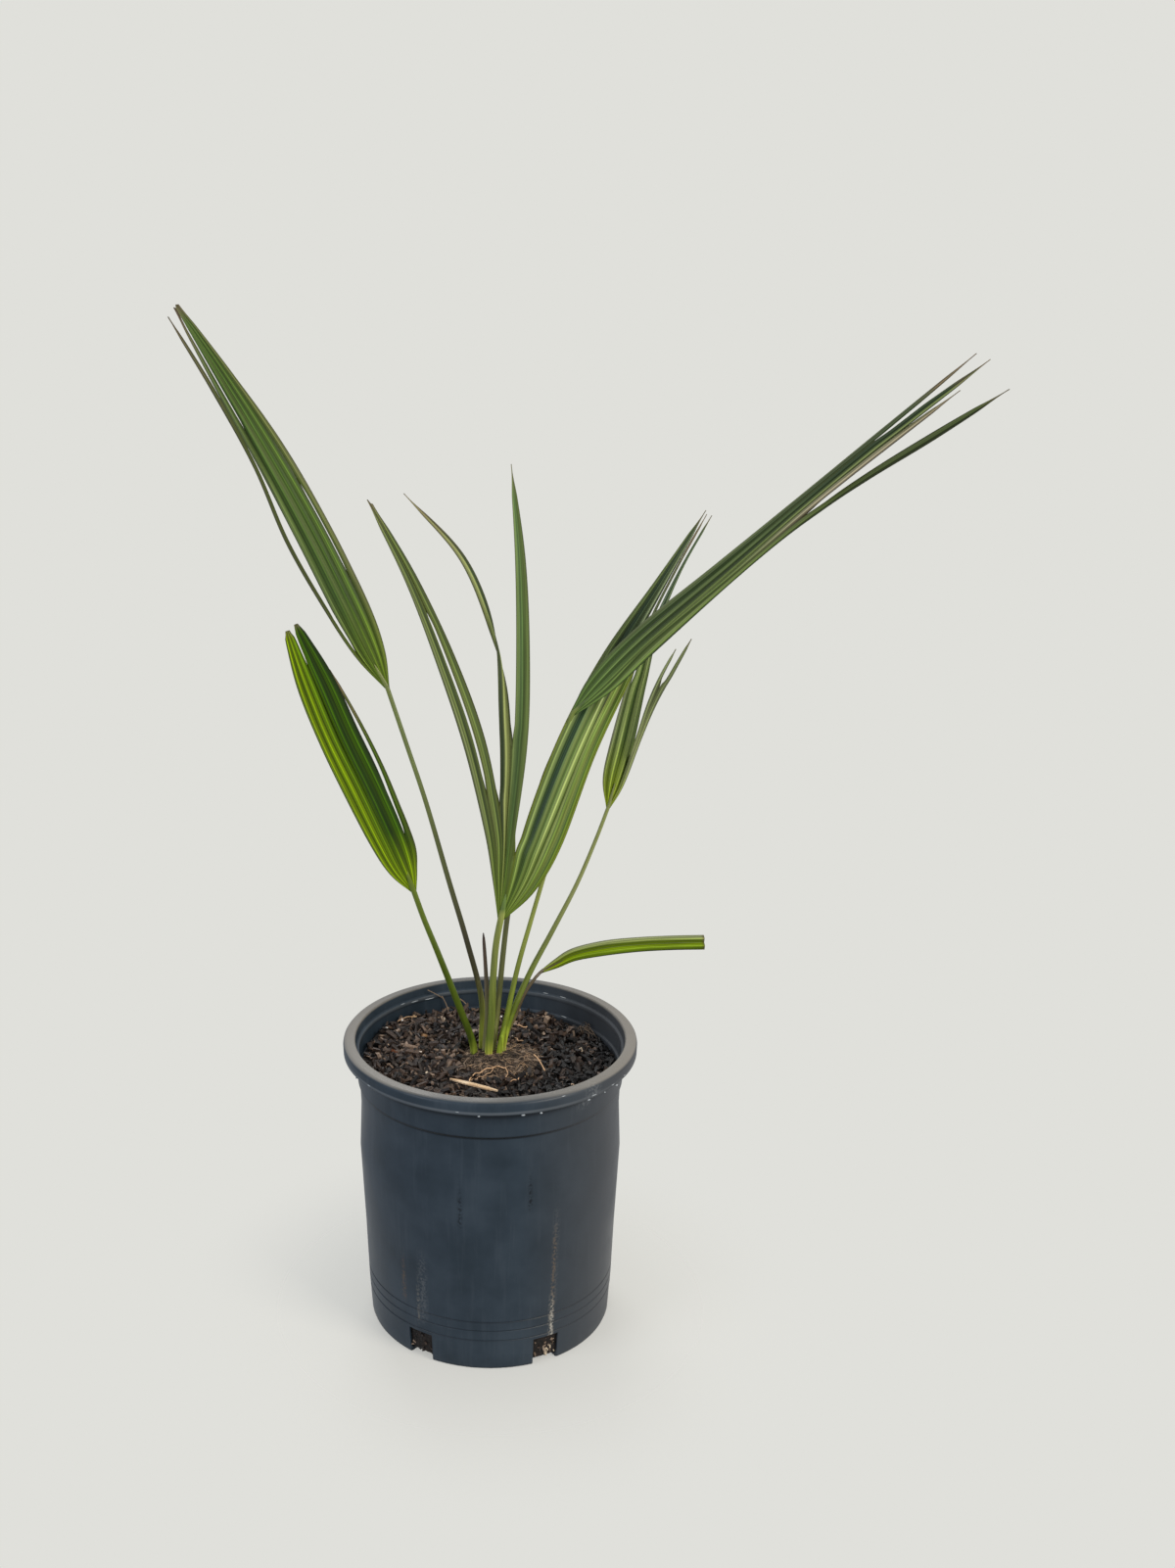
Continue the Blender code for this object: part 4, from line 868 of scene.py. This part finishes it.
def pot_material():
    """Injection-moulded recycled polypropylene: satin slate black, with mineral streaks where water ran."""
    made, tree, shader = new_material("Moulded polypropylene")
    where = add(tree, "TexCoord").outputs["Object"]
    x, y, z = add(tree, "SeparateXYZ", {0: where}).outputs
    # Cloudy patches 30 mm across and fine dust 1.6 mm across.
    clouds = add(tree, "TexNoise", {"Vector": where, "Scale": 1 / (30 * MM), "Detail": 4.0})
    grain = add(tree, "TexNoise", {"Vector": where, "Scale": 1 / (1.6 * MM), "Detail": 3.0})
    body = add(tree, "ValToRGB", {"Fac": clouds},
               stops=[(0.3, "#2a3640"), (0.5, "#323e49"), (0.7, "#3a4651")])
    # Upright streaks: noise that is stretched 12 times along Z.
    tall = add(tree, "Mapping", {"Vector": where, "Scale": (1 / (5 * MM), 1 / (5 * MM), 1 / (60 * MM))})
    runs = add(tree, "TexNoise", {"Vector": tall, "Scale": 1.0, "Detail": 5.0, "Roughness": 0.6})
    marks = add(tree, "ValToRGB", {"Fac": runs}, stops=[(0.52, 0.0), (0.72, 0.35)])
    mixed = add(tree, "MixRGB", {"Fac": marks, "Color1": body, "Color2": colour("#454f59")})
    # Each single streak fades out to both sides, over 8 mm at its bottom and over 25 mm at its top.
    forward = add(tree, "Math", {0: y, 1: -1.0}, operation="MULTIPLY")
    turn = add(tree, "Math", {0: x, 1: forward}, operation="ARCTAN2")
    for degrees, wide, low, high, shade, much in STREAKS:
        off = add(tree, "Math", {0: turn, 1: math.radians(degrees)}, operation="SUBTRACT")
        away = add(tree, "Math", {0: off}, operation="ABSOLUTE")
        mask = add(tree, "MapRange", {"Value": away, "From Min": math.radians(wide), "From Max": 0.0})
        for end, inside in ((low, low + 8.0), (high, high - 25.0)):
            part = add(tree, "MapRange", {"Value": z, "From Min": end * MM, "From Max": inside * MM},
                       interpolation_type="SMOOTHSTEP")
            mask = add(tree, "Math", {0: mask, 1: part}, operation="MULTIPLY")
        broken = add(tree, "MapRange", {"Value": grain, "From Min": 0.42, "From Max": 0.62, "To Max": much})
        mask = add(tree, "Math", {0: mask, 1: broken}, operation="MULTIPLY")
        mixed = add(tree, "MixRGB", {"Fac": mask, "Color1": mixed, "Color2": colour(shade)})
    height = add(tree, "Math", {0: z, 1: POT_HEIGHT * MM}, operation="DIVIDE")
    bands = add(tree, "ValToRGB", {"Fac": height},
                stops=[(band_z / POT_HEIGHT, shade, much) for band_z, shade, much in BANDS])
    mixed = add(tree, "MixRGB", {"Fac": bands.outputs["Alpha"], "Color1": mixed, "Color2": bands})
    # Painted shade on the outside of the wall, close under the rim.
    flat = add(tree, "VectorMath", {0: where, 1: (1.0, 1.0, 0.0)}, operation="MULTIPLY")
    radius = add(tree, "VectorMath", {0: flat}, operation="LENGTH").outputs["Value"]
    mask = add(tree, "MapRange", {"Value": radius, "From Min": 89.7 * MM, "From Max": 90.1 * MM})
    for end, inside, much in ((190.2, 192.6, 0.6), (198.4, 197.6, 1.0)):
        part = add(tree, "MapRange", {"Value": z, "From Min": end * MM, "From Max": inside * MM,
                                      "To Max": much})
        mask = add(tree, "Math", {0: mask, 1: part}, operation="MULTIPLY")
    mixed = add(tree, "MixRGB", {"Fac": mask, "Color1": mixed, "Color2": colour(PAINTED_SHADE)})
    # Painted light: the right side is lighter and greyer, where the light falls on it.
    right = add(tree, "MapRange", {"Value": x, "From Min": 20.0 * MM, "From Max": 90.0 * MM, "To Max": 0.75})
    mixed = add(tree, "MixRGB", {"Fac": right, "Color1": mixed, "Color2": colour("#4f5052")})
    # Dust and a painted highlight on the rim's top, where it is thicker and reaches further down at both
    # sides.
    off = add(tree, "Math", {0: x}, operation="ABSOLUTE")
    sideways = {"Value": off, "From Min": 30.0 * MM, "From Max": 100.0 * MM}
    much = add(tree, "MapRange", {**sideways, "To Min": 0.5, "To Max": 0.72})
    lowest = add(tree, "MapRange", {**sideways, "To Min": 205.9 * MM, "To Max": 204.8 * MM})
    full = add(tree, "Math", {0: lowest, 1: 1.1 * MM}, operation="ADD")
    top = add(tree, "MapRange", {"Value": z, "From Min": lowest, "From Max": full})
    dust_and_sheen = add(tree, "Math", {0: much, 1: top}, operation="MULTIPLY")
    mixed = add(tree, "MixRGB", {"Fac": dust_and_sheen, "Color1": mixed, "Color2": colour("#9c978e")})
    gloss = add(tree, "MapRange", {**NOISE_RANGE, "Value": clouds, "To Min": 0.28, "To Max": 0.42})
    bump = add(tree, "Bump", {"Height": grain, "Strength": 0.15, "Distance": 0.1 * MM})
    connect(tree, shader, {"Base Color": mixed, "Roughness": gloss, "Specular IOR Level": 0.2,
                           "Normal": bump})
    return made


def pot():
    """The nursery pot: turned, slotted, with its moulded edges slightly rounded."""
    bm = bmesh.new()
    start_deg = SLOT_FIRST_DEG - 90.0 - SLOT_DEG / 2
    turned(bm, pot_profile(), POT_STEPS, start_deg)
    cut_slots(bm, start_deg)
    made = finished("nursery_pot", bm, pot_material(), ["pot"], smooth_deg=30.0)
    edges = made.modifiers.new("Moulded edges", "BEVEL")
    edges.width = 0.25 * MM
    edges.segments = 2
    edges.limit_method = "ANGLE"
    edges.angle_limit = math.radians(50.0)


def mound(x, y, middle_x, middle_y, high, wide):
    """Height of a round, smooth mound."""
    return high * math.exp(-((x - middle_x) ** 2 + (y - middle_y) ** 2) / wide ** 2)


def mix_height(x, y):
    """Top of the potting mix: high at the back left, low on the right, uneven all over."""
    level = MIX_LEVEL - 0.03 * x + 0.01 * y
    heap = mound(x, y, -66.0, 42.0, 3.6, 36.0)
    hollow = mound(x, y, 62.0, 28.0, 2.2, 32.0)
    lumps = 0.7 * math.sin(x / 6.1 + 1.3) * math.cos(y / 7.3) + 0.5 * math.sin(x / 3.7 - y / 4.9)
    return level + heap - hollow + lumps


def ball_height(x, y):
    """Top of the root ball: a low dome with matted lumps."""
    out = min(1.0, math.hypot(x - BALL_X, y - BALL_Y) / BALL_R)
    matted = 0.4 * math.sin(x / 2.9) * math.cos(y / 3.3 + 0.6)
    return BALL_TOP_Z - (BALL_TOP_Z - BALL_EDGE_Z) * out ** 2.4 + matted * (1.0 - out)


def crumb_material(name, tones, size_mm, roughness, depth_mm):
    """Bark, peat, roots or wood: dull and rough, each piece with its own tone and a grain over it."""
    made, tree, shader = new_material(name)
    where = add(tree, "TexCoord").outputs["Object"]
    tone = add(tree, "Attribute", attribute_name="tone").outputs["Fac"]
    base = add(tree, "ValToRGB", {"Fac": tone}, stops=tones)
    grain = add(tree, "TexNoise", {"Vector": where, "Scale": 1 / (size_mm * MM), "Detail": 4.0,
                                   "Roughness": 0.65})
    value = add(tree, "MapRange", {**NOISE_RANGE, "Value": grain, "To Min": 0.6, "To Max": 1.5})
    shown = add(tree, "HueSaturation", {"Color": base, "Value": value})
    bump = add(tree, "Bump", {"Height": grain, "Strength": 0.8, "Distance": depth_mm * MM})
    connect(tree, shader, {"Base Color": shown, "Roughness": roughness, "Normal": bump})
    return made


def chip_shapes(rng):
    """A few angular chips as small meshes, each about one unit long."""
    shapes = []
    for k in range(CHIP_SHAPES):
        bm, _ = new_bmesh("tone")
        bmesh.ops.create_cone(bm, cap_ends=True, segments=rng.choice((4, 5, 6)), radius1=0.5,
                              radius2=rng.uniform(0.25, 0.5), depth=1.0)
        for vert in bm.verts:
            vert.co += Vector([rng.uniform(-0.12, 0.12) for _ in range(3)])
        bm.transform(Matrix.Rotation(math.pi / 2, 4, "Y"))
        mesh = bpy.data.meshes.new("chip_shape_%d" % k)
        bm.to_mesh(mesh)
        bm.free()
        shapes.append(mesh)
    return shapes


def scatter(bm, shape, sizes, turns, place, tone):
    """Add a copy of a small shape with this size, turned and put in its place, in one tone."""
    mesh = shape.copy()
    mesh.transform(Matrix.Diagonal((*sizes, 1.0)))
    for angle, axis in zip(turns, "XYZ"):
        mesh.transform(Matrix.Rotation(angle, 4, axis))
    mesh.transform(Matrix.Translation(place))
    mesh.attributes["tone"].data.foreach_set("value", [tone] * len(mesh.vertices))
    bm.from_mesh(mesh)
    bpy.data.meshes.remove(mesh)


def bark_tone(x, y, rng):
    """Painted light and shade: lit brown at the left and back, and near black in a painted shadow at the
    right and the front right.
    """
    # Painted shadow of the pot's wall over the right and the front right of the bark.
    painted_shadow = smooth_step((x - 0.5 * y + 5.0) / 70.0)
    return min(1.0, max(0.0, rng.gauss(0.44 - 0.29 * painted_shadow, 0.21)))


BARK_TONES = [(0.0, "#0a0909"), (0.25, "#191412"), (0.45, "#33261f"), (0.6, "#564539"), (0.75, "#7b6757"),
              (0.9, "#a08c7a"), (1.0, "#d4c4ac")]


def under_splinter(x, y):
    """Whether a chip lies under the pale splinter, which is pressed into the bark."""
    from_line = 0.47 * (x + 27.0) + 0.88 * (y + 28.0)
    return abs(from_line) < 5.0 and -30.0 < x < 8.0


def bark_chips(rng):
    """Coarse bark that covers the mix from wall to root ball, and shows in the drainage slots."""
    bm, _ = new_bmesh("tone")
    shapes = chip_shapes(rng)
    rows = int(2 * MIX_R / CHIP_PITCH)
    for i in range(rows + 1):
        for j in range(rows + 1):
            x = -MIX_R + CHIP_PITCH * (i + rng.uniform(-0.5, 0.5))
            y = -MIX_R + CHIP_PITCH * (j + rng.uniform(-0.5, 0.5))
            long = min(CHIP_MOST, max(CHIP_LEAST, rng.lognormvariate(1.58, 0.4)))
            out = math.hypot(x, y)
            ball = math.hypot(x - BALL_X, y - BALL_Y)
            if out + long * 0.45 > CHIP_REACH_R or ball < BALL_R - rng.uniform(0.0, 5.0):
                continue
            wide = long * rng.uniform(0.35, 0.65)
            thick = long * rng.uniform(0.22, 0.5)
            z = max(mix_height(x, y), ball_height(x, y) - 1.0) + rng.uniform(-2.0, 2.9)
            if under_splinter(x, y):
                z -= 2.5
            turns = (rng.gauss(0.0, 0.7), rng.gauss(0.0, 0.6), rng.uniform(0.0, math.tau))
            scatter(bm, rng.choice(shapes), (long, wide, thick), turns, (x, y, z), bark_tone(x, y, rng))
    for k in range(SLOT_COUNT):
        middle = math.radians(SLOT_FIRST_DEG - 90.0 + k * 360.0 / SLOT_COUNT)
        # Every third slot has washed, pale crumbs of bark in it.
        pale = 0.85 if k % 3 == 0 else 0.28
        for _ in range(CHIPS_A_SLOT):
            turn = middle + math.radians(rng.uniform(-5.6, 5.6))
            z = rng.uniform(3.6, 19.5)
            # The mix draws in towards the foot, as the pot's bottom corner does.
            r = SLOT_CHIP_R + rng.uniform(-1.0, 0.6) - max(0.0, 6.0 - z) * 0.35
            long = rng.uniform(2.0, 4.6)
            place = (r * math.cos(turn), r * math.sin(turn), z)
            turns = tuple(rng.uniform(0.0, math.tau) for _ in range(3))
            tone = min(1.0, max(0.0, rng.gauss(pale, 0.25)))
            scatter(bm, rng.choice(shapes), (long, long * 0.5, long * 0.3), turns, place, tone)
    paint = crumb_material("Pine bark", BARK_TONES, 1.2, 0.5, 0.4)
    finished("bark_chips", bm, paint, smooth_deg=25.0)
    for shape in shapes:
        bpy.data.meshes.remove(shape)


def mix_bed():
    """The body of the mix keeps its CAD node, in dark damp bark."""
    made, tree, shader = new_material("Damp composted bark")
    where = add(tree, "TexCoord").outputs["Object"]
    # Crumbs 3 mm across, with painted shade in the gaps between them.
    crumbs = add(tree, "TexVoronoi", {"Vector": where, "Scale": 1 / (3 * MM)})
    tones = add(tree, "ValToRGB", {"Fac": crumbs.outputs["Distance"]},
                stops=[(0.0, "#2e221c"), (0.5, "#1a1411"), (0.9, "#0b0908")])
    bump = add(tree, "Bump", {"Height": crumbs.outputs["Distance"], "Strength": 1.0, "Distance": 1.0 * MM},
               invert=True)
    connect(tree, shader, {"Base Color": tones, "Roughness": 0.85, "Normal": bump})
    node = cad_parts["potting_mix"]
    node.data.materials.clear()
    node.data.materials.append(made)


ROOT_TONES = [(0.0, "#171311"), (0.3, "#382f28"), (0.5, "#625447"), (0.7, "#927e6a"), (0.85, "#b89878"),
              (1.0, "#dcb288")]


def root_ball(rng):
    """The felted plug of the palm's first tube: a lumpy dome with fine roots matted over it."""
    bm, (tone_layer,) = new_bmesh("tone")
    profile = [(BALL_R * k / BALL_RINGS, BALL_TOP_Z) for k in range(BALL_RINGS + 1)]
    profile += [(BALL_R - 0.1, BALL_EDGE_Z - 2.0), (BALL_R - 0.6, 175.0), (BALL_FOOT_R, BALL_FOOT_Z),
                (0.0, BALL_FOOT_Z)]
    turned(bm, profile, BALL_STEPS)
    for vert in bm.verts:
        vert.co.x += BALL_X
        vert.co.y += BALL_Y
        place = vert.co.copy()
        if place.z > BALL_EDGE_Z:
            place.z = 0.0
            lumps = 1.2 * noise.noise(place / 5.0) + 1.0 * noise.noise(place / 2.1)
            vert.co.z = ball_height(place.x, place.y) + lumps
            # Painted shade: the lumps are lighter where they rise and darker in the hollows between them.
            vert[tone_layer] = 0.4 + 0.3 * lumps
        else:
            vert[tone_layer] = 0.3
    for _ in range(FIBRE_COUNT):
        turn = rng.uniform(0.0, math.tau)
        out = BALL_R * math.sqrt(rng.random()) * 0.98
        x, y = BALL_X + out * math.cos(turn), BALL_Y + out * math.sin(turn)
        heading = rng.uniform(0.0, math.tau)
        bend = rng.gauss(0.0, 0.4)
        tone = min(0.86, max(0.02, rng.gauss(0.48, 0.25)))
        arch = rng.uniform(0.0, 1.6)
        line = []
        for k in range(FIBRE_POINTS):
            z = max(ball_height(x, y), mix_height(x, y)) + 0.35
            z += arch * math.sin(math.pi * k / (FIBRE_POINTS - 1))
            line.append(Vector((x, y, z)))
            x += FIBRE_STEP * math.cos(heading)
            y += FIBRE_STEP * math.sin(heading)
            heading += bend + rng.gauss(0.0, 0.35)
        if math.hypot(x - BALL_X, y - BALL_Y) < BALL_R + 2.0:
            add_root(bm, tone_layer, line, rng.uniform(0.12, 0.25), 3, tone)
    bmesh.ops.remove_doubles(bm, verts=bm.verts, dist=FINE_MERGE)
    paint = crumb_material("Matted palm roots", ROOT_TONES, 1.5, 0.92, 0.35)
    finished("felted_roots", bm, paint, ["root_ball"], smooth_deg=60.0)


def add_root(bm, tone_layer, line, radius, sides, tone):
    """Add one thin root, twig or straw in one tone."""

    def mark(vert, share):
        vert[tone_layer] = tone

    tube(bm, line, [radius] * len(line), sides, mark)


# Roots that lie on the mix and the root ball, each (places seen from above, radius, tone).
SURFACE_ROOTS = [
    ([(-14, -32), (-12, -25), (-8, -20), (-2, -16), (4, -14), (10, -15)], 0.4, 0.97),
    ([(-13, -31), (-9, -27), (-5, -23), (-1, -21), (2, -17)], 0.3, 0.9),
    ([(10, -15), (12, -21), (10, -27), (13, -31)], 0.34, 0.93),
    ([(-6, -27), (-1, -24), (5, -24), (9, -28)], 0.28, 0.75),
    ([(11, -32), (14, -29), (18, -28), (20, -24)], 0.38, 0.97),
    ([(14, 53), (18, 57), (23, 54), (28, 54), (31, 47)], 0.45, 0.95),
    ([(14, 36), (18, 37), (20, 31), (24, 30)], 0.4, 0.85),
    ([(12, -4), (19, -3), (25, 2), (31, 1)], 0.35, 0.6),
    ([(22, -12), (18, -19), (12, -21)], 0.35, 0.65),
    ([(-14, 0), (-18, -5), (-17, -11), (-21, -15)], 0.35, 0.6),
]


# Twigs and straws that stand or lie clear of the mix, each (points, radius, tone).
TWIGS = [
    ([(-45, 75, 206), (-36, 80, 198.5), (-33.5, 80, 196)], 0.32, 0.72),
    ([(-35, 80, 199), (-32, 79, 193), (-30, 77, 187)], 0.4, 0.7),
    ([(-22, 84, 195), (-19, 85, 192), (-16, 84, 189)], 0.4, 0.75),
    ([(30, 4, 189.5), (33, -4, 190), (37, -16, 187.5)], 0.5, 0.93),
    ([(58, 38, 183), (59, 38, 188), (58.5, 39, 191)], 0.8, 0.55),
    ([(-66, 52, 192), (-60, 58, 192.5), (-55, 62, 191)], 0.5, 0.9),
    ([(-20, -50, 187), (-12, -56, 187), (-4, -60, 186.5)], 0.5, 0.6),
]


def loose_bits(rng):
    """Surface roots, straw, twigs and a tuft of fibres, which lie on the mix and the root ball."""
    bm, (tone_layer,) = new_bmesh("tone")
    for places, radius, tone in SURFACE_ROOTS:
        line = route([(x, y, 0.0) for x, y in places], 5 * len(places))
        for k, place in enumerate(line):
            ground = max(ball_height(place.x, place.y), mix_height(place.x, place.y))
            place.z = ground + ROOT_RISE + 0.5 * math.sin(k * 0.8)
        add_root(bm, tone_layer, line, radius, 6, tone)
    for points, radius, tone in TWIGS:
        add_root(bm, tone_layer, route(points, 8), radius, 6, tone)
    for _ in range(STRAW_COUNT):
        start = Vector((STRAW_X + rng.uniform(-4, 4), STRAW_Y + rng.uniform(-4, 4), STRAW_Z))
        middle = start + Vector((rng.uniform(0, 5), rng.uniform(-4, 4), rng.uniform(3, 7)))
        end = middle + Vector((rng.uniform(-2, 8), rng.uniform(-10, 0), rng.uniform(-3, 2)))
        end *= min(1.0, MIX_R / end.xy.length)
        add_root(bm, tone_layer, route([start, middle, end], 6), 0.18, 3, rng.uniform(0.35, 0.68))
    bmesh.ops.remove_doubles(bm, verts=bm.verts, dist=FINE_MERGE)
    paint = crumb_material("Dry roots and straw", ROOT_TONES, 1.5, 0.8, 0.1)
    finished("surface_roots", bm, paint, smooth_deg=60.0)


# Single pale bits, each (x, y, length, tone).
PALE_BITS = [
    (-63, 55, 3.0, 1.0), (-34, 76, 3.4, 0.8), (7, 70, 3.4, 1.0), (-25, 9, 3.2, 0.95), (-54, 62, 6.0, 0.5),
    (-46, 32, 5.2, 0.35), (-66, 9, 4.5, 0.05), (-62, -22, 3.2, 0.8), (-44, 69, 3.4, 0.7),
    (-73, 40, 2.4, 1.0), (39, 27, 2.4, 1.0), (44, 9, 3.8, 0.3), (45, 6, 3.0, 0.55), (-38, -44, 2.2, 0.9),
    (55, -32, 2.2, 0.6), (20, -58, 2.4, 0.45), (-70, 18, 2.4, 0.6), (62, 12, 2.0, 0.7), (-30, 40, 2.6, 0.75),
    (-48, 10, 2.2, 0.85), (58, 22, 3.6, 0.15), (-20, 62, 2.4, 0.6),
]


def pale_bits(rng):
    """Perlite and a few pale chips of bark and wood on top of the mix."""
    bm, _ = new_bmesh("tone")
    shapes = chip_shapes(rng)
    for x, y, long, tone in PALE_BITS:
        turns = (rng.uniform(-0.4, 0.4), rng.uniform(-0.4, 0.4), rng.uniform(0.0, math.tau))
        place = (x, y, mix_height(x, y) + 2.0)
        scatter(bm, rng.choice(shapes), (long, long * 0.7, long * 0.5), turns, place, tone)
    tones = [(0.0, "#6a3a26"), (0.3, "#9a7048"), (0.5, "#c8a67c"), (0.7, "#e0c8b4"), (1.0, "#f2efe8")]
    paint = crumb_material("Perlite and wood chips", tones, 1.0, 0.9, 0.15)
    finished("pale_bits", bm, paint, smooth_deg=30.0)
    for shape in shapes:
        bpy.data.meshes.remove(shape)


def splinter():
    """A flat splinter of raw wood with split, pointed ends."""
    along = Vector(SPLINTER_END) - Vector(SPLINTER_START)
    low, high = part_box("wood_sliver")
    bm, (tone_layer,) = new_bmesh("tone")
    bmesh.ops.create_cube(bm, size=1.0)
    long_edges = [edge for edge in bm.edges if abs(edge.verts[0].co.x - edge.verts[1].co.x) > 0.5]
    bmesh.ops.subdivide_edges(bm, edges=long_edges, cuts=15)
    for vert in bm.verts:
        x, y, z = vert.co
        narrow = 1.0 - 0.8 * abs(2.0 * x) ** 3
        ragged = 0.25 * noise.noise(Vector((x * 14.0, y * 3.0, 0.0)))
        vert.co = (x * along.length, y * SPLINTER_WIDE * narrow + ragged, z * SPLINTER_THICK)
        vert[tone_layer] = 0.6 + 0.5 * noise.noise(Vector((x * 5.0, y * 2.0, z)))
    bm.transform(Matrix.Rotation(math.atan2(along.y, along.x), 4, "Z"))
    middle = (low + high) / 2 / MM + Vector((0.0, 0.0, SPLINTER_RISE))
    bm.transform(Matrix.Translation(middle))
    tones = [(0.0, "#b28d66"), (0.5, "#dfbd94"), (1.0, "#f2dcbc")]
    paint = crumb_material("Raw split pine", tones, 1.0, 0.7, 0.1)
    made = finished("wood_splinter", bm, paint, ["wood_sliver"], smooth_deg=30.0)
    edges = made.modifiers.new("Worn edges", "BEVEL")
    edges.width = 0.15 * MM
    edges.segments = 2


# Drops of water, pale as painted glints of light, each (degrees from the front, radius, height, size, length
# as a share of the size).
DROPS = [
    (12.1, 99.7, 197.4, 1.6, 1.6), (18.9, 99.7, 197.3, 1.8, 1.0), (39.5, 99.7, 197.4, 1.5, 1.5),
    (48.1, 99.7, 197.5, 1.3, 1.0), (55.8, 99.7, 197.2, 1.8, 1.2), (-4.1, 99.7, 197.5, 1.3, 1.4),
    (-62.0, 99.7, 197.5, 1.3, 1.0), (-150.5, 89.2, 198.0, 1.0, 8.0), (-142.5, 89.2, 198.9, 0.9, 7.0),
    (-135.5, 89.3, 200.2, 0.8, 5.0), (153.6, 90.4, 200.9, 0.8, 5.0), (144.5, 90.4, 200.9, 0.8, 7.0),
    (153.5, 88.6, 186.9, 0.8, 9.0), (143.0, 88.6, 186.9, 0.8, 7.0), (28.0, 99.3, 205.6, 0.6, 5.0),
    (-52.0, 99.9, 199.6, 0.7, 5.0), (-12.0, 100.0, 199.6, 0.6, 4.0), (42.0, 100.0, 199.4, 0.7, 7.0),
    (53.0, 100.0, 199.6, 0.7, 5.0), (62.0, 100.0, 199.6, 0.6, 4.0),
]


def water_drops():
    """Drops of water that hang under the rim and lie along its ledges and its upper edge, painted pale as
    glints.
    """
    made, tree, shader = new_material("Water with painted glints")
    # The pale base colour is a painted highlight: the glints of light on the wet plastic.
    connect(tree, shader, {"Base Color": colour("#b4bcc2"), "Roughness": 0.05, "IOR": 1.33,
                           "Coat Weight": 1.0})
    bm = bmesh.new()
    for degrees, r, z, size, long in DROPS:
        turn = math.radians(degrees - 90.0)
        place = Matrix.Translation((r * math.cos(turn), r * math.sin(turn), z))
        flat = Matrix.Diagonal((size, size * long, size * 0.6, 1.0))
        turned_round = Matrix.Rotation(turn, 4, "Z")
        bmesh.ops.create_icosphere(bm, subdivisions=2, radius=0.5, matrix=place @ turned_round @ flat)
    finished("water_drops", bm, made, smooth_deg=80.0)


def floor():
    """A plain pale floor that fades out round the pot."""
    made, tree, shader = new_material("Pale studio floor")
    connect(tree, shader, {"Base Color": colour("#e4e4df"), "Roughness": 0.9, "Specular IOR Level": 0.0})
    where = add(tree, "TexCoord").outputs["Object"]
    away = add(tree, "VectorMath", {0: where}, operation="LENGTH").outputs["Value"]
    fade = add(tree, "MapRange", {"Value": away, "From Min": FADE_NEAR * MM, "From Max": FADE_FAR * MM,
                                  "To Min": 0.5}, interpolation_type="SMOOTHSTEP")
    clear = add(tree, "BsdfTransparent")
    mixed = add(tree, "MixShader", {0: fade, 1: shader, 2: clear})
    connect(tree, tree.nodes["Material Output"], {"Surface": mixed})
    bm = bmesh.new()
    bmesh.ops.create_circle(bm, cap_ends=True, segments=64, radius=FLOOR_R * MM)
    mesh = bpy.data.meshes.new("floor")
    bm.to_mesh(mesh)
    bm.free()
    mesh.materials.append(made)
    made_floor = bpy.data.objects.new("floor", mesh)
    bpy.context.scene.collection.objects.link(made_floor)


# Soft square lamps, each (name, place in metres, size in metres, power in watts, tint).
LAMPS = [
    ("key", (1.4, -1.2, 1.5), 0.8, 27.0, "#fff6ea"),
    ("fill", (-1.5, -1.0, 1.2), 1.0, 11.0, "#f2f5ff"),
    ("back", (-0.2, 1.3, 1.7), 0.9, 12.0, "#ffffff"),
]


def light(name, place, size, power, tint):
    """A soft square lamp that looks at the middle of the plant."""
    lamp = bpy.data.lights.new(name, "AREA")
    lamp.size = size
    lamp.energy = power
    lamp.color = colour(tint)[:3]
    made = bpy.data.objects.new(name, lamp)
    bpy.context.scene.collection.objects.link(made)
    made.location = place
    ahead = Vector((0.0, 0.0, LIT_MIDDLE_Z * MM)) - Vector(place)
    made.rotation_euler = ahead.to_track_quat("-Z", "Y").to_euler()


def studio():
    """Soft light from the upper right, and the photograph's view."""
    scene = bpy.context.scene
    world = bpy.data.worlds.new("studio")
    world.use_nodes = True
    tree = world.node_tree
    plain = tree.nodes["Background"]
    connect(tree, plain, {"Color": colour("#e0e0db")})
    soft = add(tree, "Background", {"Color": colour("#e6e8ea"), "Strength": 0.55})
    seen = add(tree, "LightPath").outputs["Is Camera Ray"]
    shown = add(tree, "MixShader", {0: seen, 1: soft, 2: plain})
    connect(tree, tree.nodes["World Output"], {"Surface": shown})
    scene.world = world
    scene.view_settings.view_transform = "Standard"
    for lamp in LAMPS:
        light(*lamp)
    lens = bpy.data.cameras.new("camera")
    lens.sensor_width = 36.0
    lens.lens = LENS
    lens.shift_x = LENS_SHIFT
    camera = bpy.data.objects.new("camera", lens)
    scene.collection.objects.link(camera)
    camera.location = (0.0, -CAMERA_FRONT * MM, CAMERA_HEIGHT * MM)
    camera.rotation_euler = (math.radians(90.0 - CAMERA_DOWN_DEG), 0.0, 0.0)
    scene.camera = camera


studio()
floor()
pot()
mix_bed()
bark_chips(random.Random(11))
root_ball(random.Random(23))
loose_bits(random.Random(31))
pale_bits(random.Random(41))
splinter()
water_drops()
for frond in FRONDS:
    stalk(frond)
    if frond.segments:
        blade(frond)
